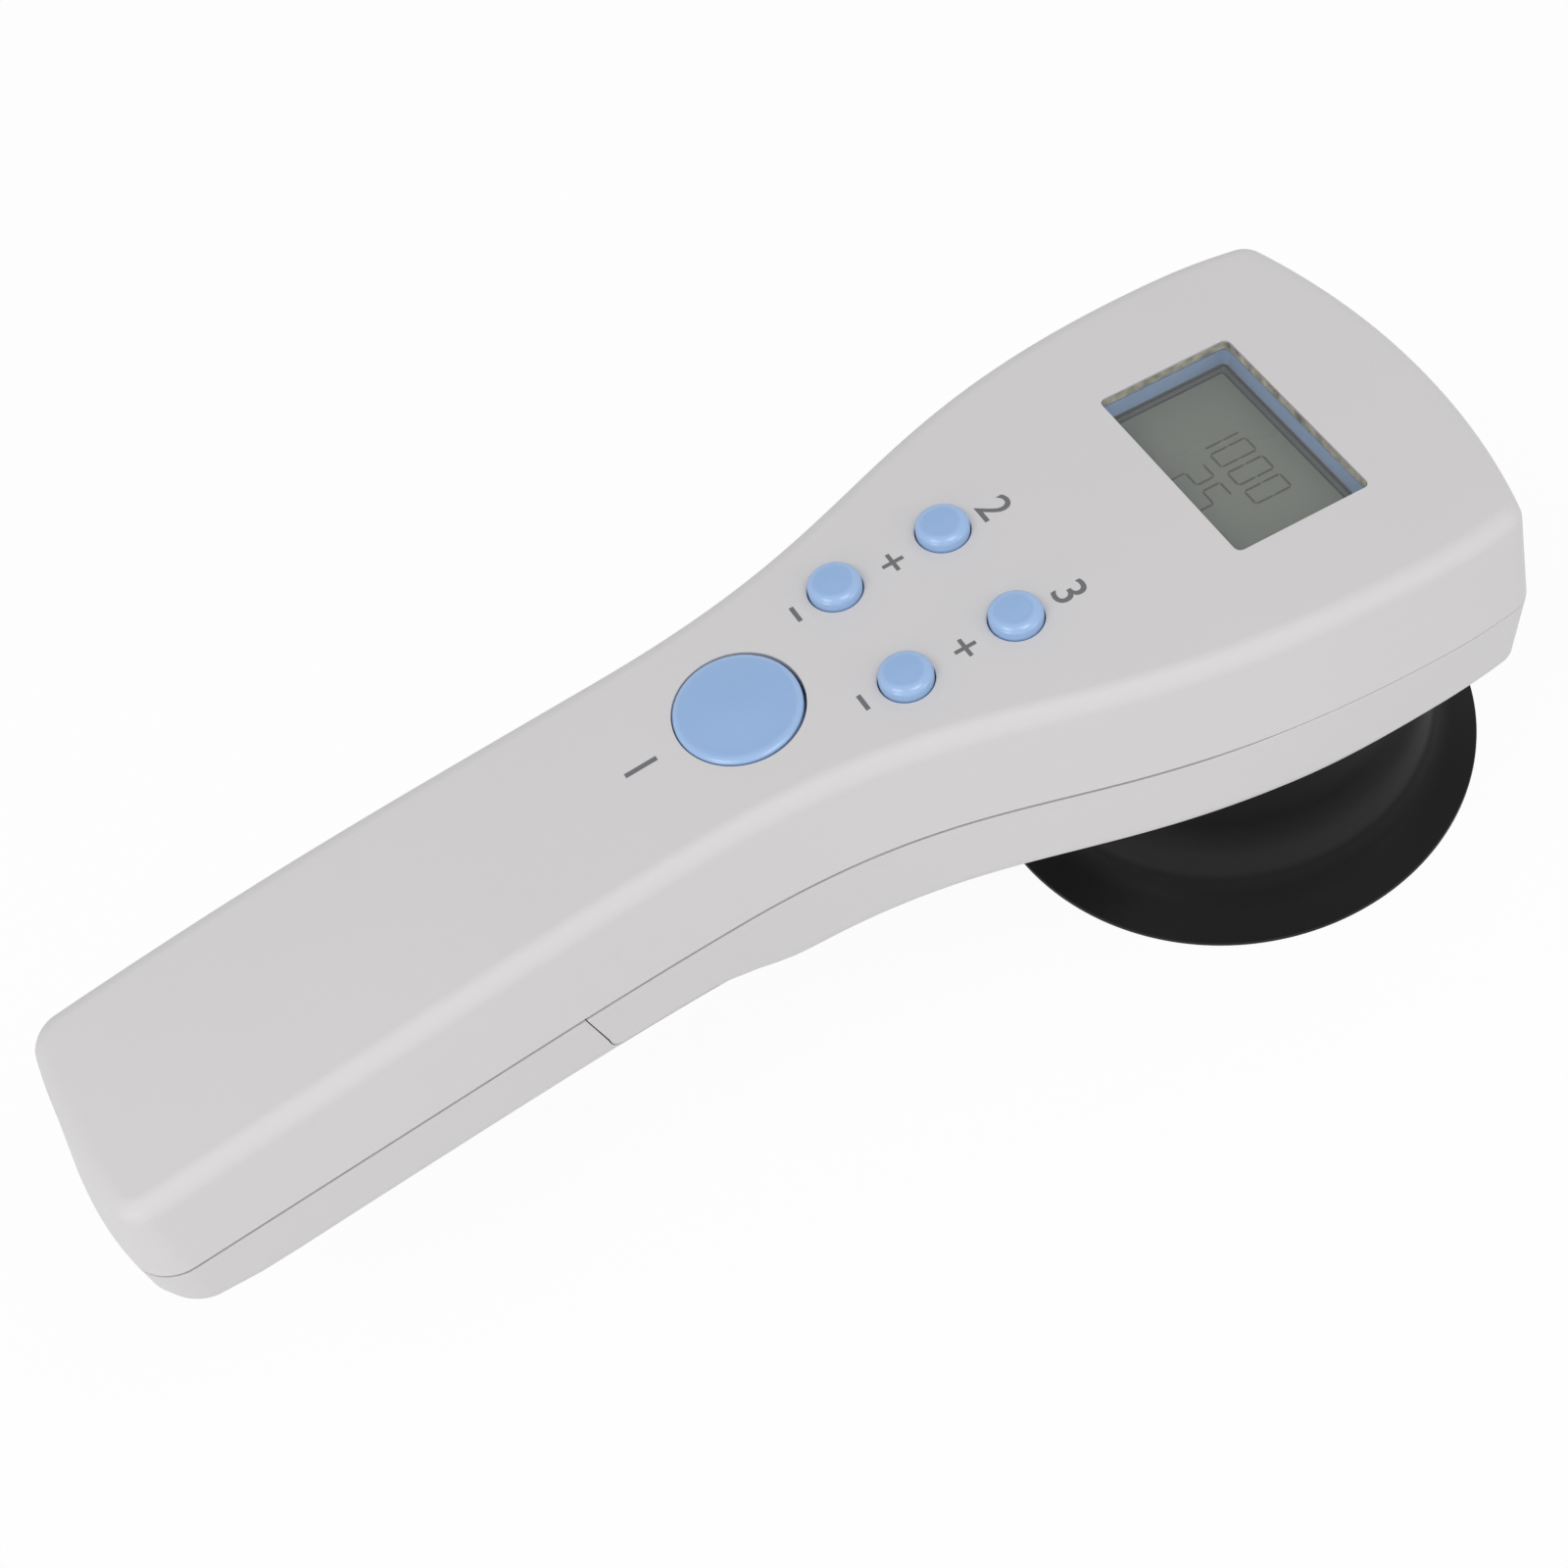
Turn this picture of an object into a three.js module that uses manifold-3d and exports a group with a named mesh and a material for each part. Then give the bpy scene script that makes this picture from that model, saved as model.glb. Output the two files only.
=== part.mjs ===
// Handheld screening audiometer: a two-part moulded casing with a sliding battery cover,
// five keys, a small display and an earphone with a brimmed rubber cushion under the head.
// Millimetres, +Z up. X runs from the handle to the head and Y across it.
// The rim of the ear cushion lies in the plane z = 0.
import * as THREE from "three";
import { mergeVertices } from "three/addons/utils/BufferGeometryUtils.js";
import Module from "manifold-3d";

// Casing outline seen from above, at the edge of the face
const handleEndX = -88;
const handleEndHalf = 14.6;
const handleEndSlopeShare = 0.009;
const handleReach = 36;
const waistX = -15.2;
const waistHalf = 14.05;
const waistReachRear = 24;
const waistReachFront = 37;
const bulgeX = 66.9;
const bulgeHalf = 27.85;
const bulgeReachRear = 42.2;
const bulgeReachFront = 4.9;
const shoulderX = 80;
const shoulderHalf = 26.85;
const shoulderSlopeShare = -0.16;
const shoulderReach = 5;
const headEndX = 86.75;
const cornerRadius = 3.4;
const leastCornerShare = 0.08;

// Casing seen from the side: every long line is an arc, given by its crown and radius
const faceCrownX = -10;
const faceRadius = 684;
const seamCrownX = -26;
const seamDepth = 14.75;
const seamRadius = 800;
const handleFloorCrownX = -39;
const handleDepth = 26;
const handleFloorRadius = 500;
const headDepth = 29.4;
const stepStartX = -19.5;
const stepEndX = -8.5;
const endLiftHeight = 3.4;
const endLiftLength = 12.7;

// How far the handle's end is bowed outwards at the face, the seam and the floor
const faceBow = 1.3;
const seamBow = 2.3;
const floorBow = 2.65;
const bowPower = 2.2;
const bowSteps = 3;

// How far the head's underside is drawn in, and where that starts and ends
const headTuck = 0.8;
const tuckStartX = 50;
const tuckEndX = 76;

// Casing walls
const wall = 2;
const draft = 1.05;
const floorDraft = 0.75;
const faceFillet = 2.4;
const floorFillet = 3.2;
const innerFillet = 0.9;
const seamGap = 0.3;
const lipHeight = 1.2;
const lipThickness = 0.8;
const lipClearance = 0.3;

// General clearances, and the distance within which points of one geometry are the same
const seatGap = 0.3;
const overrun = 2;
const weldDistance = 1e-4;

// Battery cover
const coverEdgeX = -35.5;
const coverEdgeLean = 1.4;
const coverEdgeDrop = 8;
const coverEdgeCurve = 1.9;
const coverPanelEndX = -20.3;
const coverPanelInset = 0.35;
const tongueHalf = 7;
const tongueLength = 3;
const tongueThickness = 1.1;
const tongueRoot = 4;
const runnerThickness = 1;
const runnerReach = 0.7;
const runnerLength = 5.5;
const runnerCount = 3;
const coverGripCount = 5;
const coverGripPitch = 2.4;
const coverGripDepth = 0.5;
const coverGripWidth = 1;
const coverGripHalf = 7.5;
const coverGripX = -72;

// Display
const windowX = 61.2;
const windowLength = 17.93;
const windowWidth = 27.74;
const windowRadius = 0.8;
const windowWall = 1.4;
const lensRecess = 0.3;
const lensGap = 0.25;
const frameLength = 24;
const frameWidth = 34;
const frameDepth = 2.3;
const lcdLength = 23;
const lcdWidth = 36;
const lcdThickness = 2.8;
const lcdClearance = 0.78;
const holderWall = 1.4;
const holderLedge = 2.2;
const stripWidth = 1.6;
const stripLength = 29;

// Keys: a large one on the centre line and two pairs beyond it
const measureKeyX = -4;
const measureHoleRadius = 7.57;
const pairRearX = 13;
const pairFrontX = 27.2;
const pairHalfSpacing = 7.65;
const pairHoleRadius = 3.22;
const keyGap = 0.25;
const keyTravel = 0.6;
const measureKeyRise = 0.35;
const measureKeyDome = 0.45;
const pairKeyRise = 1.25;
const pairKeyDome = 0.25;
const keyEdge = 0.7;
const domeMiddleShare = 0.75;
const keyFlange = 1.05;
const keyFlangeThickness = 1;
const keySkin = 1.2;
const keyPostRadius = 1.6;
const guideHeight = 0.5;
const guideWidth = 0.9;

// Switches on the board
const switchSize = 6;
const switchHeight = 3.4;
const plungerRadius = 1.7;
const plungerWell = 2.1;
const plungerWellDepth = 2;
const plungerRise = 1.4;

// Main board and what it carries
const boardThickness = 1.6;
const boardRearX = -22;
const boardFrontX = 74.6;
const boardMargin = 1;
const boardSteps = 24;
const boardBossRearX = -17.5;
const boardBossRearY = 8;
const boardBossFrontInset = 20.7;
const boardBossMargin = 5.3;
const boardBossRadius = 2.6;
const chipSize = 9;
const chipHeight = 1.4;
const chipX = 38.5;
const toneChipLength = 10;
const toneChipWidth = 6;
const toneChipX = 14;
const crystalLength = 4.6;
const crystalWidth = 11;
const crystalHeight = 3;
const crystalX = 26;
const socketLength = 4;
const socketWidth = 6;
const socketHeight = 5;
const earphoneSocketX = 36;
const batterySocketX = -14;

// Screws
const screwRadius = 1.1;
const screwBore = 1.4;
const screwHeadRadius = 2.2;
const screwHeadHeight = 1.5;
const screwSides = 8;
const driveSlotWidth = 0.7;
const driveSlotDepth = 0.7;
const driveSlotShare = 0.7;
const boardScrewLength = 7;
const trayScrewLength = 5;
const caseScrewLength = 14;
const earphoneScrewLength = 6;

// Case bosses: x and y of the two pairs
const neckBossX = 20.2;
const neckBossY = 13;
const headBossX = 78.4;
const headBossY = 19;
const upperBossRadius = 3;
const lowerBossRadius = 3.6;
const counterboreRadius = 2.6;
const counterboreDepth = 4;

// Earphone, round the axis of the cushion
const earX = 57.2;
const collarOverhang = 1.1;
const collarWall = 2.2;
const collarRise = 0.6;
const padThickness = 2.5;
const leadHoleRadius = 7;
const housingRadius = 20.4;
const housingBottomZ = 9.4;
const housingHeight = 14.3;
const housingWall = 1.9;
const housingRoof = 2.2;
const housingBossRadius = 2.9;
const housingBossLength = 4;
const earphoneScrewInset = 5;
const earphoneScrewCount = 3;
const grilleThickness = 1.3;
const grilleHoleRadius = 1.2;
const grilleRings = 2;
const grilleRingStep = 4.6;
const grilleHolesPerRing = 6;
const basketGap = 1.1;
const basketHeight = 3;
const magnetInset = 6.4;
const magnetHeight = 2.6;
const terminalHoleRadius = 2.4;
const terminalHalfSpacing = 3.6;

// Ear cushion profile, as radii and heights over its rim
const rimRadius = 32;
const rimFace = 1.9;
const rimThickness = 0.9;
const creaseRadius = 26.4;
const creaseZ = 4.5;
const shoulderBulge = 1.1;
const shoulderTopZ = 15.5;
const cushionWall = 2.3;
const cushionTopZ = 21;
const bowlRadius = 24.6;
const bowlZ = 2.6;
const throatRadius = 15.5;
const throatZ = 6.4;
const cushionSegments = 44;
const shoulderRings = 5;

// Battery tray and its two AAA cells
const cellRadius = 5.15;
const cellLength = 44.5;
const cellNubRadius = 1.9;
const cellNubLength = 1;
const cellHalfSpacing = 5.3;
const cellDepth = 15.15;
const trayRearX = -85.4;
const trayWall = 0.8;
const trayEndWall = 1;
const trayRoof = 1;
const trayGapCount = 5;
const trayTabLength = 10;
const trayTabHalf = 11;
const trayScrewInset = 5;
const trayScrewY = 6.5;
const trayBossRadius = 2.5;
const contactThickness = 0.4;
const contactWidth = 8;
const contactHeight = 8;
const springWire = 0.3;
const springTurns = 3;
const springLength = 3.1;
const springTopRadius = 1.5;
const springBaseRadius = 3;
const springStepsPerTurn = 8;
const springSides = 5;

// Inner leads
const leadRadius = 0.55;
const leadSides = 6;
const leadSteps = 12;
const leadSpacing = 2.6;
const leadSag = 3;
const leadDip = 1.2;

// Facet counts
const cornerSteps = 3;
const handleSteps = 6;
const neckSteps = 12;
const shoulderSteps = 2;
const endSteps = 5;
const filletSteps = 3;
const holeSides = 28;
const measureKeySides = 24;
const pairKeySides = 16;
const smallSides = 12;
const grilleHoleSides = 6;

const wasm = await Module();
wasm.setup();

// Solids and joins

// Turns a closed geometry into a solid that can be joined and cut.
function solid(geometry) {
  const bare = geometry.index ? geometry.toNonIndexed() : geometry.clone();
  bare.deleteAttribute("normal");
  bare.deleteAttribute("uv");
  const merged = mergeVertices(bare, weldDistance);
  return new wasm.Manifold(
    new wasm.Mesh({
      numProp: 3,
      vertProperties: new Float32Array(merged.attributes.position.array),
      triVerts: new Uint32Array(merged.index.array),
    }),
  );
}

// Turns a solid back into a geometry for a mesh.
function geometryOf(shape) {
  const mesh = shape.getMesh();
  const geometry = new THREE.BufferGeometry();
  geometry.setAttribute("position", new THREE.BufferAttribute(mesh.vertProperties, 3));
  geometry.setIndex(new THREE.BufferAttribute(mesh.triVerts, 1));
  return geometry;
}

// A block from its lowest to its highest corner.
function block(low, high) {
  const size = high.map((value, axis) => value - low[axis]);
  const geometry = new THREE.BoxGeometry(...size);
  geometry.translate(...low.map((value, axis) => value + size[axis] / 2));
  return solid(geometry);
}

// An upright cylinder over (x, y) between two heights.
function cylinder(radius, x, y, bottom, top, sides = holeSides) {
  const geometry = new THREE.CylinderGeometry(radius, radius, top - bottom, sides);
  geometry.rotateX(Math.PI / 2);
  geometry.translate(x, y, (top + bottom) / 2);
  return solid(geometry);
}

// A profile of [radius, height] points turned round the upright axis over (x, y).
// The profile runs with the material on its left.
function revolve(profile, x, y, sides) {
  const points = profile.map(([radius, height]) => new THREE.Vector2(radius, height));
  const geometry = new THREE.LatheGeometry(points, sides);
  geometry.rotateX(Math.PI / 2);
  geometry.translate(x, y, 0);
  return solid(geometry);
}

// A flat outline extruded between two heights.
function prism(shape, bottom, top) {
  const geometry = new THREE.ExtrudeGeometry(shape, {
    depth: top - bottom,
    bevelEnabled: false,
    curveSegments: cornerSteps,
  });
  geometry.translate(0, 0, bottom);
  return solid(geometry);
}

function roundedRectangle(length, width, radius) {
  const x = length / 2;
  const y = width / 2;
  const shape = new THREE.Shape();
  shape.moveTo(radius - x, -y);
  shape.absarc(x - radius, radius - y, radius, -Math.PI / 2, 0, false);
  shape.absarc(x - radius, y - radius, radius, 0, Math.PI / 2, false);
  shape.absarc(radius - x, y - radius, radius, Math.PI / 2, Math.PI, false);
  shape.absarc(radius - x, radius - y, radius, Math.PI, Math.PI * 1.5, false);
  return shape;
}

const join = (shapes) => shapes.reduce((sum, shape) => sum.add(shape));
const cut = (shape, tools) => tools.reduce((rest, tool) => rest.subtract(tool), shape);

// Radii inside the earphone, worked out from its housing
const housingBore = housingRadius - housingWall;
const collarRadius = housingRadius + collarOverhang;
const earphoneScrewCircle = housingBore - earphoneScrewInset;
const basketRadius = housingBore - basketGap;
const magnetRadius = basketRadius - magnetInset;
const cushionNeckRadius = housingRadius + seatGap + cushionWall;

// Casing surfaces. The casing stands on the earphone: its collar rests on the housing, and the
// collar's rim hangs a little lower than the head's underside at its front.

const arcHeight = (x, crownX, crownZ, radius) =>
  crownZ - radius + Math.sqrt(radius ** 2 - (x - crownX) ** 2);
const collarZ = housingBottomZ + housingHeight + seatGap;
const faceCrownZ =
  collarZ + collarRise + headDepth - arcHeight(earX + collarRadius, faceCrownX, 0, faceRadius);
const seamCrownZ = faceCrownZ - seamDepth;
const handleFloorCrownZ = faceCrownZ - handleDepth;
const cellZ = faceCrownZ - cellDepth;
const faceZ = (x) => arcHeight(x, faceCrownX, faceCrownZ, faceRadius);
const seamZ = (x) => arcHeight(x, seamCrownX, seamCrownZ, seamRadius);

// The underside: one arc under the handle, a smooth step, and the face's own arc under the head.
function floorZ(x) {
  const handle = arcHeight(x, handleFloorCrownX, handleFloorCrownZ, handleFloorRadius);
  const blend = THREE.MathUtils.smoothstep(x, stepStartX, stepEndX);
  const inEnd = THREE.MathUtils.clamp((handleEndX + endLiftLength - x) / endLiftLength, 0, 1);
  const lift = endLiftHeight * (1 - Math.sqrt(1 - inEnd ** 2));
  return THREE.MathUtils.lerp(handle, faceZ(x) - headDepth, blend) + lift;
}

const faceAngle = (x) => Math.atan2(x - faceCrownX, faceRadius);

// The three curves of a side, from the handle's end to the shoulder of the head.
function sideCurves() {
  const point = (x, y) => new THREE.Vector2(x, y);
  const start = point(handleEndX + cornerRadius, handleEndHalf);
  const waist = point(waistX, waistHalf);
  const bulge = point(bulgeX, bulgeHalf);
  const shoulder = point(shoulderX, shoulderHalf);
  return [
    [
      start,
      point(start.x + handleReach, handleEndHalf + handleReach * handleEndSlopeShare),
      point(waistX - waistReachRear, waistHalf),
      waist,
      handleSteps,
    ],
    [
      waist,
      point(waistX + waistReachFront, waistHalf),
      point(bulgeX - bulgeReachRear, bulgeHalf),
      bulge,
      neckSteps,
    ],
    [
      bulge,
      point(bulgeX + bulgeReachFront, bulgeHalf),
      point(shoulderX - shoulderReach, shoulderHalf - shoulderReach * shoulderSlopeShare),
      shoulder,
      shoulderSteps,
    ],
  ].map(([a, b, c, d, steps]) => ({ curve: new THREE.CubicBezierCurve(a, b, c, d), steps }));
}

// Anchors of the half outline, each with an outward direction and a reach from its anchor.
function outlineAnchors() {
  const anchors = Array.from({ length: bowSteps }, (_, i) => {
    const y = ((handleEndHalf - cornerRadius) * i) / bowSteps;
    return { x: handleEndX, y, nx: -1, ny: 0, reach: 0 };
  });
  const corner = (x, y, from, to, includeLast) => {
    const last = includeLast ? cornerSteps : cornerSteps - 1;
    for (let i = 0; i <= last; i += 1) {
      const angle = THREE.MathUtils.lerp(from, to, i / cornerSteps);
      anchors.push({ x, y, nx: Math.cos(angle), ny: Math.sin(angle), reach: cornerRadius });
    }
  };
  corner(handleEndX + cornerRadius, handleEndHalf - cornerRadius, Math.PI, Math.PI / 2, false);
  let shoulderAngle = 0;
  sideCurves().forEach(({ curve, steps }) => {
    for (let i = 0; i < steps; i += 1) {
      const at = curve.getPoint(i / steps);
      const along = curve.getTangent(i / steps);
      anchors.push({ x: at.x, y: at.y, nx: -along.y, ny: along.x, reach: 0 });
    }
    const along = curve.getTangent(1);
    shoulderAngle = Math.atan2(along.x, -along.y);
  });
  const cornerX = shoulderX - Math.cos(shoulderAngle) * cornerRadius;
  const cornerY = shoulderHalf - Math.sin(shoulderAngle) * cornerRadius;
  const inset = cornerX - headEndX;
  const endRadius = (cornerRadius ** 2 - inset ** 2 - cornerY ** 2) / (2 * (inset + cornerRadius));
  const endAngle = Math.atan2(cornerY, cornerX - headEndX + endRadius);
  corner(cornerX, cornerY, shoulderAngle, endAngle, true);
  for (let i = 1; i <= endSteps; i += 1) {
    const angle = endAngle * (1 - i / endSteps);
    const end = { x: headEndX - endRadius, y: 0, reach: endRadius };
    anchors.push({ ...end, nx: Math.cos(angle), ny: i === endSteps ? 0 : Math.sin(angle) });
  }
  return anchors;
}

const anchors = outlineAnchors();
const leastCorner = cornerRadius * leastCornerShare;
const boardBossFrontX = windowX - boardBossFrontInset;
const boardBossFrontY = halfWidthAt(boardBossFrontX) - boardBossMargin;

// The half outline moved outwards by an offset; corners shrink to a small arc at most.
// The handle's end is also bowed outwards, most in its middle, and the head drawn in by a tuck.
function halfOutline(offset, bow = 0, tuck = 0) {
  return anchors.map(({ x, y, nx, ny, reach }) => {
    const tucked = THREE.MathUtils.smoothstep(x + nx * reach, tuckStartX, tuckEndX);
    const moved = offset - tuck * tucked;
    const length = reach > 0 ? Math.max(reach + moved, leastCorner) : moved;
    const inEnd = x <= handleEndX + cornerRadius;
    const flat = ((y + ny * reach) / handleEndHalf) ** bowPower;
    const share = inEnd ? Math.max(1 - flat, 0) : 0;
    return [x + nx * length - bow * share, y + ny * length];
  });
}

// A closed body through rings of the outline, each with an offset, a bow, a tuck and a height
// function, from the bottom ring up. Its top and bottom run straight across and curve lengthwise.
function casingBody(rings) {
  const half = anchors.length;
  const around = 2 * half - 2;
  const positions = [];
  rings.forEach(({ offset, bow, tuck, height }) => {
    const points = halfOutline(offset, bow, tuck);
    points.forEach(([x, y]) => positions.push(x, y, height(x)));
    points
      .slice(1, -1)
      .reverse()
      .forEach(([x, y]) => positions.push(x, -y, height(x)));
  });
  const faces = [];
  for (let ring = 0; ring < rings.length - 1; ring += 1) {
    for (let i = 0; i < around; i += 1) {
      const a = ring * around + i;
      const b = ring * around + ((i + 1) % around);
      faces.push(a, a + around, b, b, a + around, b + around);
    }
  }
  const top = (rings.length - 1) * around;
  for (let i = 0; i < half - 1; i += 1) {
    const [left, leftNext] = [i, i + 1];
    const [right, rightNext] = [(around - i) % around, around - 1 - i];
    if (left !== right) faces.push(top + left, top + right, top + leftNext, left, leftNext, right);
    if (leftNext !== rightNext) {
      faces.push(top + leftNext, top + right, top + rightNext, leftNext, rightNext, right);
    }
  }
  const geometry = new THREE.BufferGeometry();
  geometry.setAttribute("position", new THREE.Float32BufferAttribute(positions, 3));
  geometry.setIndex(faces);
  return solid(geometry);
}

// Rings of a rounded edge, from its wall to the surface that it reaches: sign is 1 at the face
// and -1 at the floor.
function filletRings(radius, start, surface, sign, steps) {
  return Array.from({ length: steps + 1 }, (_, i) => {
    const angle = (Math.PI / 2) * (i / steps);
    return {
      bow: sign > 0 ? faceBow : floorBow,
      tuck: sign > 0 ? 0 : headTuck,
      offset: start - radius * (1 - Math.cos(angle)),
      height: (x) => surface(x) - sign * radius * (1 - Math.sin(angle)),
    };
  });
}

// The upper casing as one skin: from the ceiling down the inside, round the seam with its
// rebate, and up the outside to the face.
function upperSkin() {
  const ceiling = filletRings(innerFillet, -wall, (x) => faceZ(x) - wall, 1, 1).reverse();
  const rebate = draft - wall + lipThickness + lipClearance;
  const rebateTop = (x) => seamZ(x) + lipHeight + lipClearance;
  const edge = (x) => seamZ(x) + seamGap / 2;
  return casingBody([
    ...ceiling,
    { offset: draft - wall, bow: seamBow, height: rebateTop },
    { offset: rebate, bow: seamBow, height: rebateTop },
    { offset: rebate, bow: seamBow, height: edge },
    { offset: draft, bow: seamBow, height: edge },
    ...filletRings(faceFillet, 0, faceZ, 1, filletSteps),
  ]);
}

// The lower casing as one skin: from the floor up the outside, round the seam with or without
// its lip, and down the inside.
function lowerSkin(withLip) {
  const edge = (x) => seamZ(x) - seamGap / 2;
  const lipTop = (x) => seamZ(x) + lipHeight;
  const lip = [
    { offset: draft - wall + lipThickness, bow: seamBow, height: edge },
    { offset: draft - wall + lipThickness, bow: seamBow, height: lipTop },
    { offset: draft - wall, bow: seamBow, height: lipTop },
  ];
  const inside = (x) => floorZ(x) + wall;
  return casingBody([
    ...filletRings(floorFillet, floorDraft, floorZ, -1, filletSteps).reverse(),
    { offset: draft, bow: seamBow, height: edge },
    ...(withLip ? lip : []),
    { offset: draft - wall, bow: seamBow, height: edge },
    ...filletRings(floorFillet - wall, floorDraft - wall, inside, -1, filletSteps - 1),
  ]);
}

// Holes in the face

const measureKind = {
  hole: measureHoleRadius,
  rise: measureKeyRise,
  dome: measureKeyDome,
  sides: measureKeySides,
};
const pairKind = { hole: pairHoleRadius, rise: pairKeyRise, dome: pairKeyDome, sides: pairKeySides };
const keys = [
  { name: "measure", x: measureKeyX, y: 0, ...measureKind },
  { name: "frequency_down", x: pairRearX, y: pairHalfSpacing, ...pairKind },
  { name: "frequency_up", x: pairFrontX, y: pairHalfSpacing, ...pairKind },
  { name: "level_down", x: pairRearX, y: -pairHalfSpacing, ...pairKind },
  { name: "level_up", x: pairFrontX, y: -pairHalfSpacing, ...pairKind },
];

const caseBosses = [
  [neckBossX, neckBossY],
  [neckBossX, -neckBossY],
  [headBossX, headBossY],
  [headBossX, -headBossY],
];
const earphoneScrews = Array.from({ length: earphoneScrewCount }, (_, i) => {
  const angle = (i * 2 * Math.PI) / earphoneScrewCount;
  return [
    earX + earphoneScrewCircle * Math.cos(angle),
    earphoneScrewCircle * Math.sin(angle),
  ];
});
const boardBosses = [
  [boardBossRearX, boardBossRearY],
  [boardBossRearX, -boardBossRearY],
  [boardBossFrontX, boardBossFrontY],
  [boardBossFrontX, -boardBossFrontY],
];

// Battery tray places that the shells share
const trayTopZ = cellZ + cellRadius + seatGap + trayRoof;
const traySideY = cellHalfSpacing + cellRadius + seatGap;
const runnerZ = cellZ - cellRadius;
const trayFrontX =
  trayRearX +
  2 * (trayEndWall + contactThickness + springWire) +
  trayGapCount * seatGap +
  springLength +
  cellLength;
const trayScrewX = trayFrontX + trayTabLength - trayScrewInset;
const trayBosses = [
  [trayScrewX, trayScrewY],
  [trayScrewX, -trayScrewY],
];

// Places of the tray's runners and of the cover's ribs that hook over them, on both sides
const runnerPitch = (trayFrontX - trayRearX) / runnerCount;
const runnerPlaces = Array.from({ length: runnerCount }, (_, i) => {
  const x = trayRearX + (runnerPitch * (2 * i + 1)) / 2;
  return [
    [x, 1],
    [x, -1],
  ];
}).flat();

// Display parts stand on the tangent of the face at the window: local z is the height over it.
function onFace(geometry) {
  geometry.rotateY(faceAngle(windowX));
  geometry.translate(windowX, 0, faceZ(windowX));
  return geometry;
}
const facePrism = (shape, bottom, top) => {
  const geometry = new THREE.ExtrudeGeometry(shape, {
    depth: top - bottom,
    bevelEnabled: false,
    curveSegments: cornerSteps,
  });
  geometry.translate(0, 0, bottom);
  return solid(onFace(geometry));
};
const facePlate = (length, width, bottom, top) =>
  facePrism(roundedRectangle(length, width, windowRadius), bottom, top);

const frameTop = -windowWall - seatGap;
const frameBottom = frameTop - frameDepth;
const lcdTop = frameBottom - seatGap;
const lcdBottom = lcdTop - lcdThickness;

// The board lies level, just under the display's front edge.
const boardTopZ =
  faceZ(windowX) +
  lcdBottom * Math.cos(faceAngle(windowX)) -
  (lcdLength / 2) * Math.sin(faceAngle(windowX)) -
  lcdClearance;

// Upright cylinders over a list of places, between two heights that depend on x.
function posts(list, radius, bottom, top) {
  return list.map(([x, y]) => cylinder(radius, x, y, bottom(x), top(x), smallSides));
}

function upperShell() {
  const intoWall = (x) => faceZ(x) - wall / 2;
  const boreTop = (x) => faceZ(x) - 2 * wall;
  const bosses = [
    ...posts(boardBosses, boardBossRadius, () => boardTopZ + seatGap, intoWall),
    ...posts(trayBosses, trayBossRadius, () => trayTopZ + seatGap, intoWall),
    ...posts(caseBosses, upperBossRadius, (x) => seamZ(x) + seamGap, intoWall),
    ...keys.map(({ x, y, hole, sides }) =>
      cylinder(hole + guideWidth, x, y, faceZ(x) - wall - guideHeight, intoWall(x), sides),
    ),
  ];
  const bores = [
    ...posts(boardBosses, screwBore, () => boardTopZ - overrun, boreTop),
    ...posts(trayBosses, screwBore, () => trayTopZ - overrun, boreTop),
    ...posts(caseBosses, screwBore, (x) => seamZ(x) - overrun, boreTop),
  ];
  const keyHoles = keys.map(({ x, y, hole, sides }) =>
    cylinder(hole, x, y, faceZ(x) - wall - overrun, faceCrownZ + overrun, sides),
  );
  const window = facePlate(windowLength, windowWidth, -wall - overrun, overrun);
  const pocket = facePlate(
    frameLength + 2 * seatGap,
    frameWidth + 2 * seatGap,
    frameBottom - overrun,
    -windowWall,
  );
  return cut(join([upperSkin(), ...bosses]), [...bores, ...keyHoles, window, pocket]);
}

const coverPanelTop = floorZ(coverPanelEndX) + wall;
const tongueBottom = coverPanelTop + seatGap;
const tongueTop = tongueBottom + tongueThickness;

// The space of the battery cover. From the side it lies left of a leaning edge and under a line
// low on the casing's side, up to the step. A panel between the side walls reaches higher.
function coverRegion(grow) {
  const edgeZ = seamZ(coverEdgeX);
  const lowZ = edgeZ - coverEdgeDrop;
  const shape = new THREE.Shape();
  const far = handleEndX - seamBow - draft - overrun;
  shape.moveTo(far, seamCrownZ + overrun);
  shape.lineTo(coverEdgeX + grow, seamCrownZ + overrun);
  shape.lineTo(coverEdgeX + grow, edgeZ);
  shape.lineTo(coverEdgeX + coverEdgeLean + grow, lowZ + grow);
  shape.quadraticCurveTo(
    coverEdgeX + coverEdgeLean + grow,
    lowZ - coverEdgeCurve + grow,
    coverEdgeX + coverEdgeLean + coverEdgeCurve,
    lowZ - coverEdgeCurve + grow,
  );
  shape.lineTo(coverPanelEndX + grow, lowZ - coverEdgeCurve + grow);
  shape.lineTo(coverPanelEndX + grow, handleFloorCrownZ - floorFillet);
  shape.lineTo(far, handleFloorCrownZ - floorFillet);
  const across = 2 * (bulgeHalf + overrun);
  const geometry = new THREE.ExtrudeGeometry(shape, {
    depth: across,
    bevelEnabled: false,
    curveSegments: cornerSteps,
  });
  geometry.rotateX(Math.PI / 2);
  geometry.translate(0, across / 2, 0);
  const panelHalf = waistHalf - wall - coverPanelInset + grow;
  const panel = block(
    [coverEdgeX, -panelHalf, handleFloorCrownZ - floorFillet],
    [coverPanelEndX + grow, panelHalf, tongueTop + grow],
  );
  return solid(geometry).add(panel);
}

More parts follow.
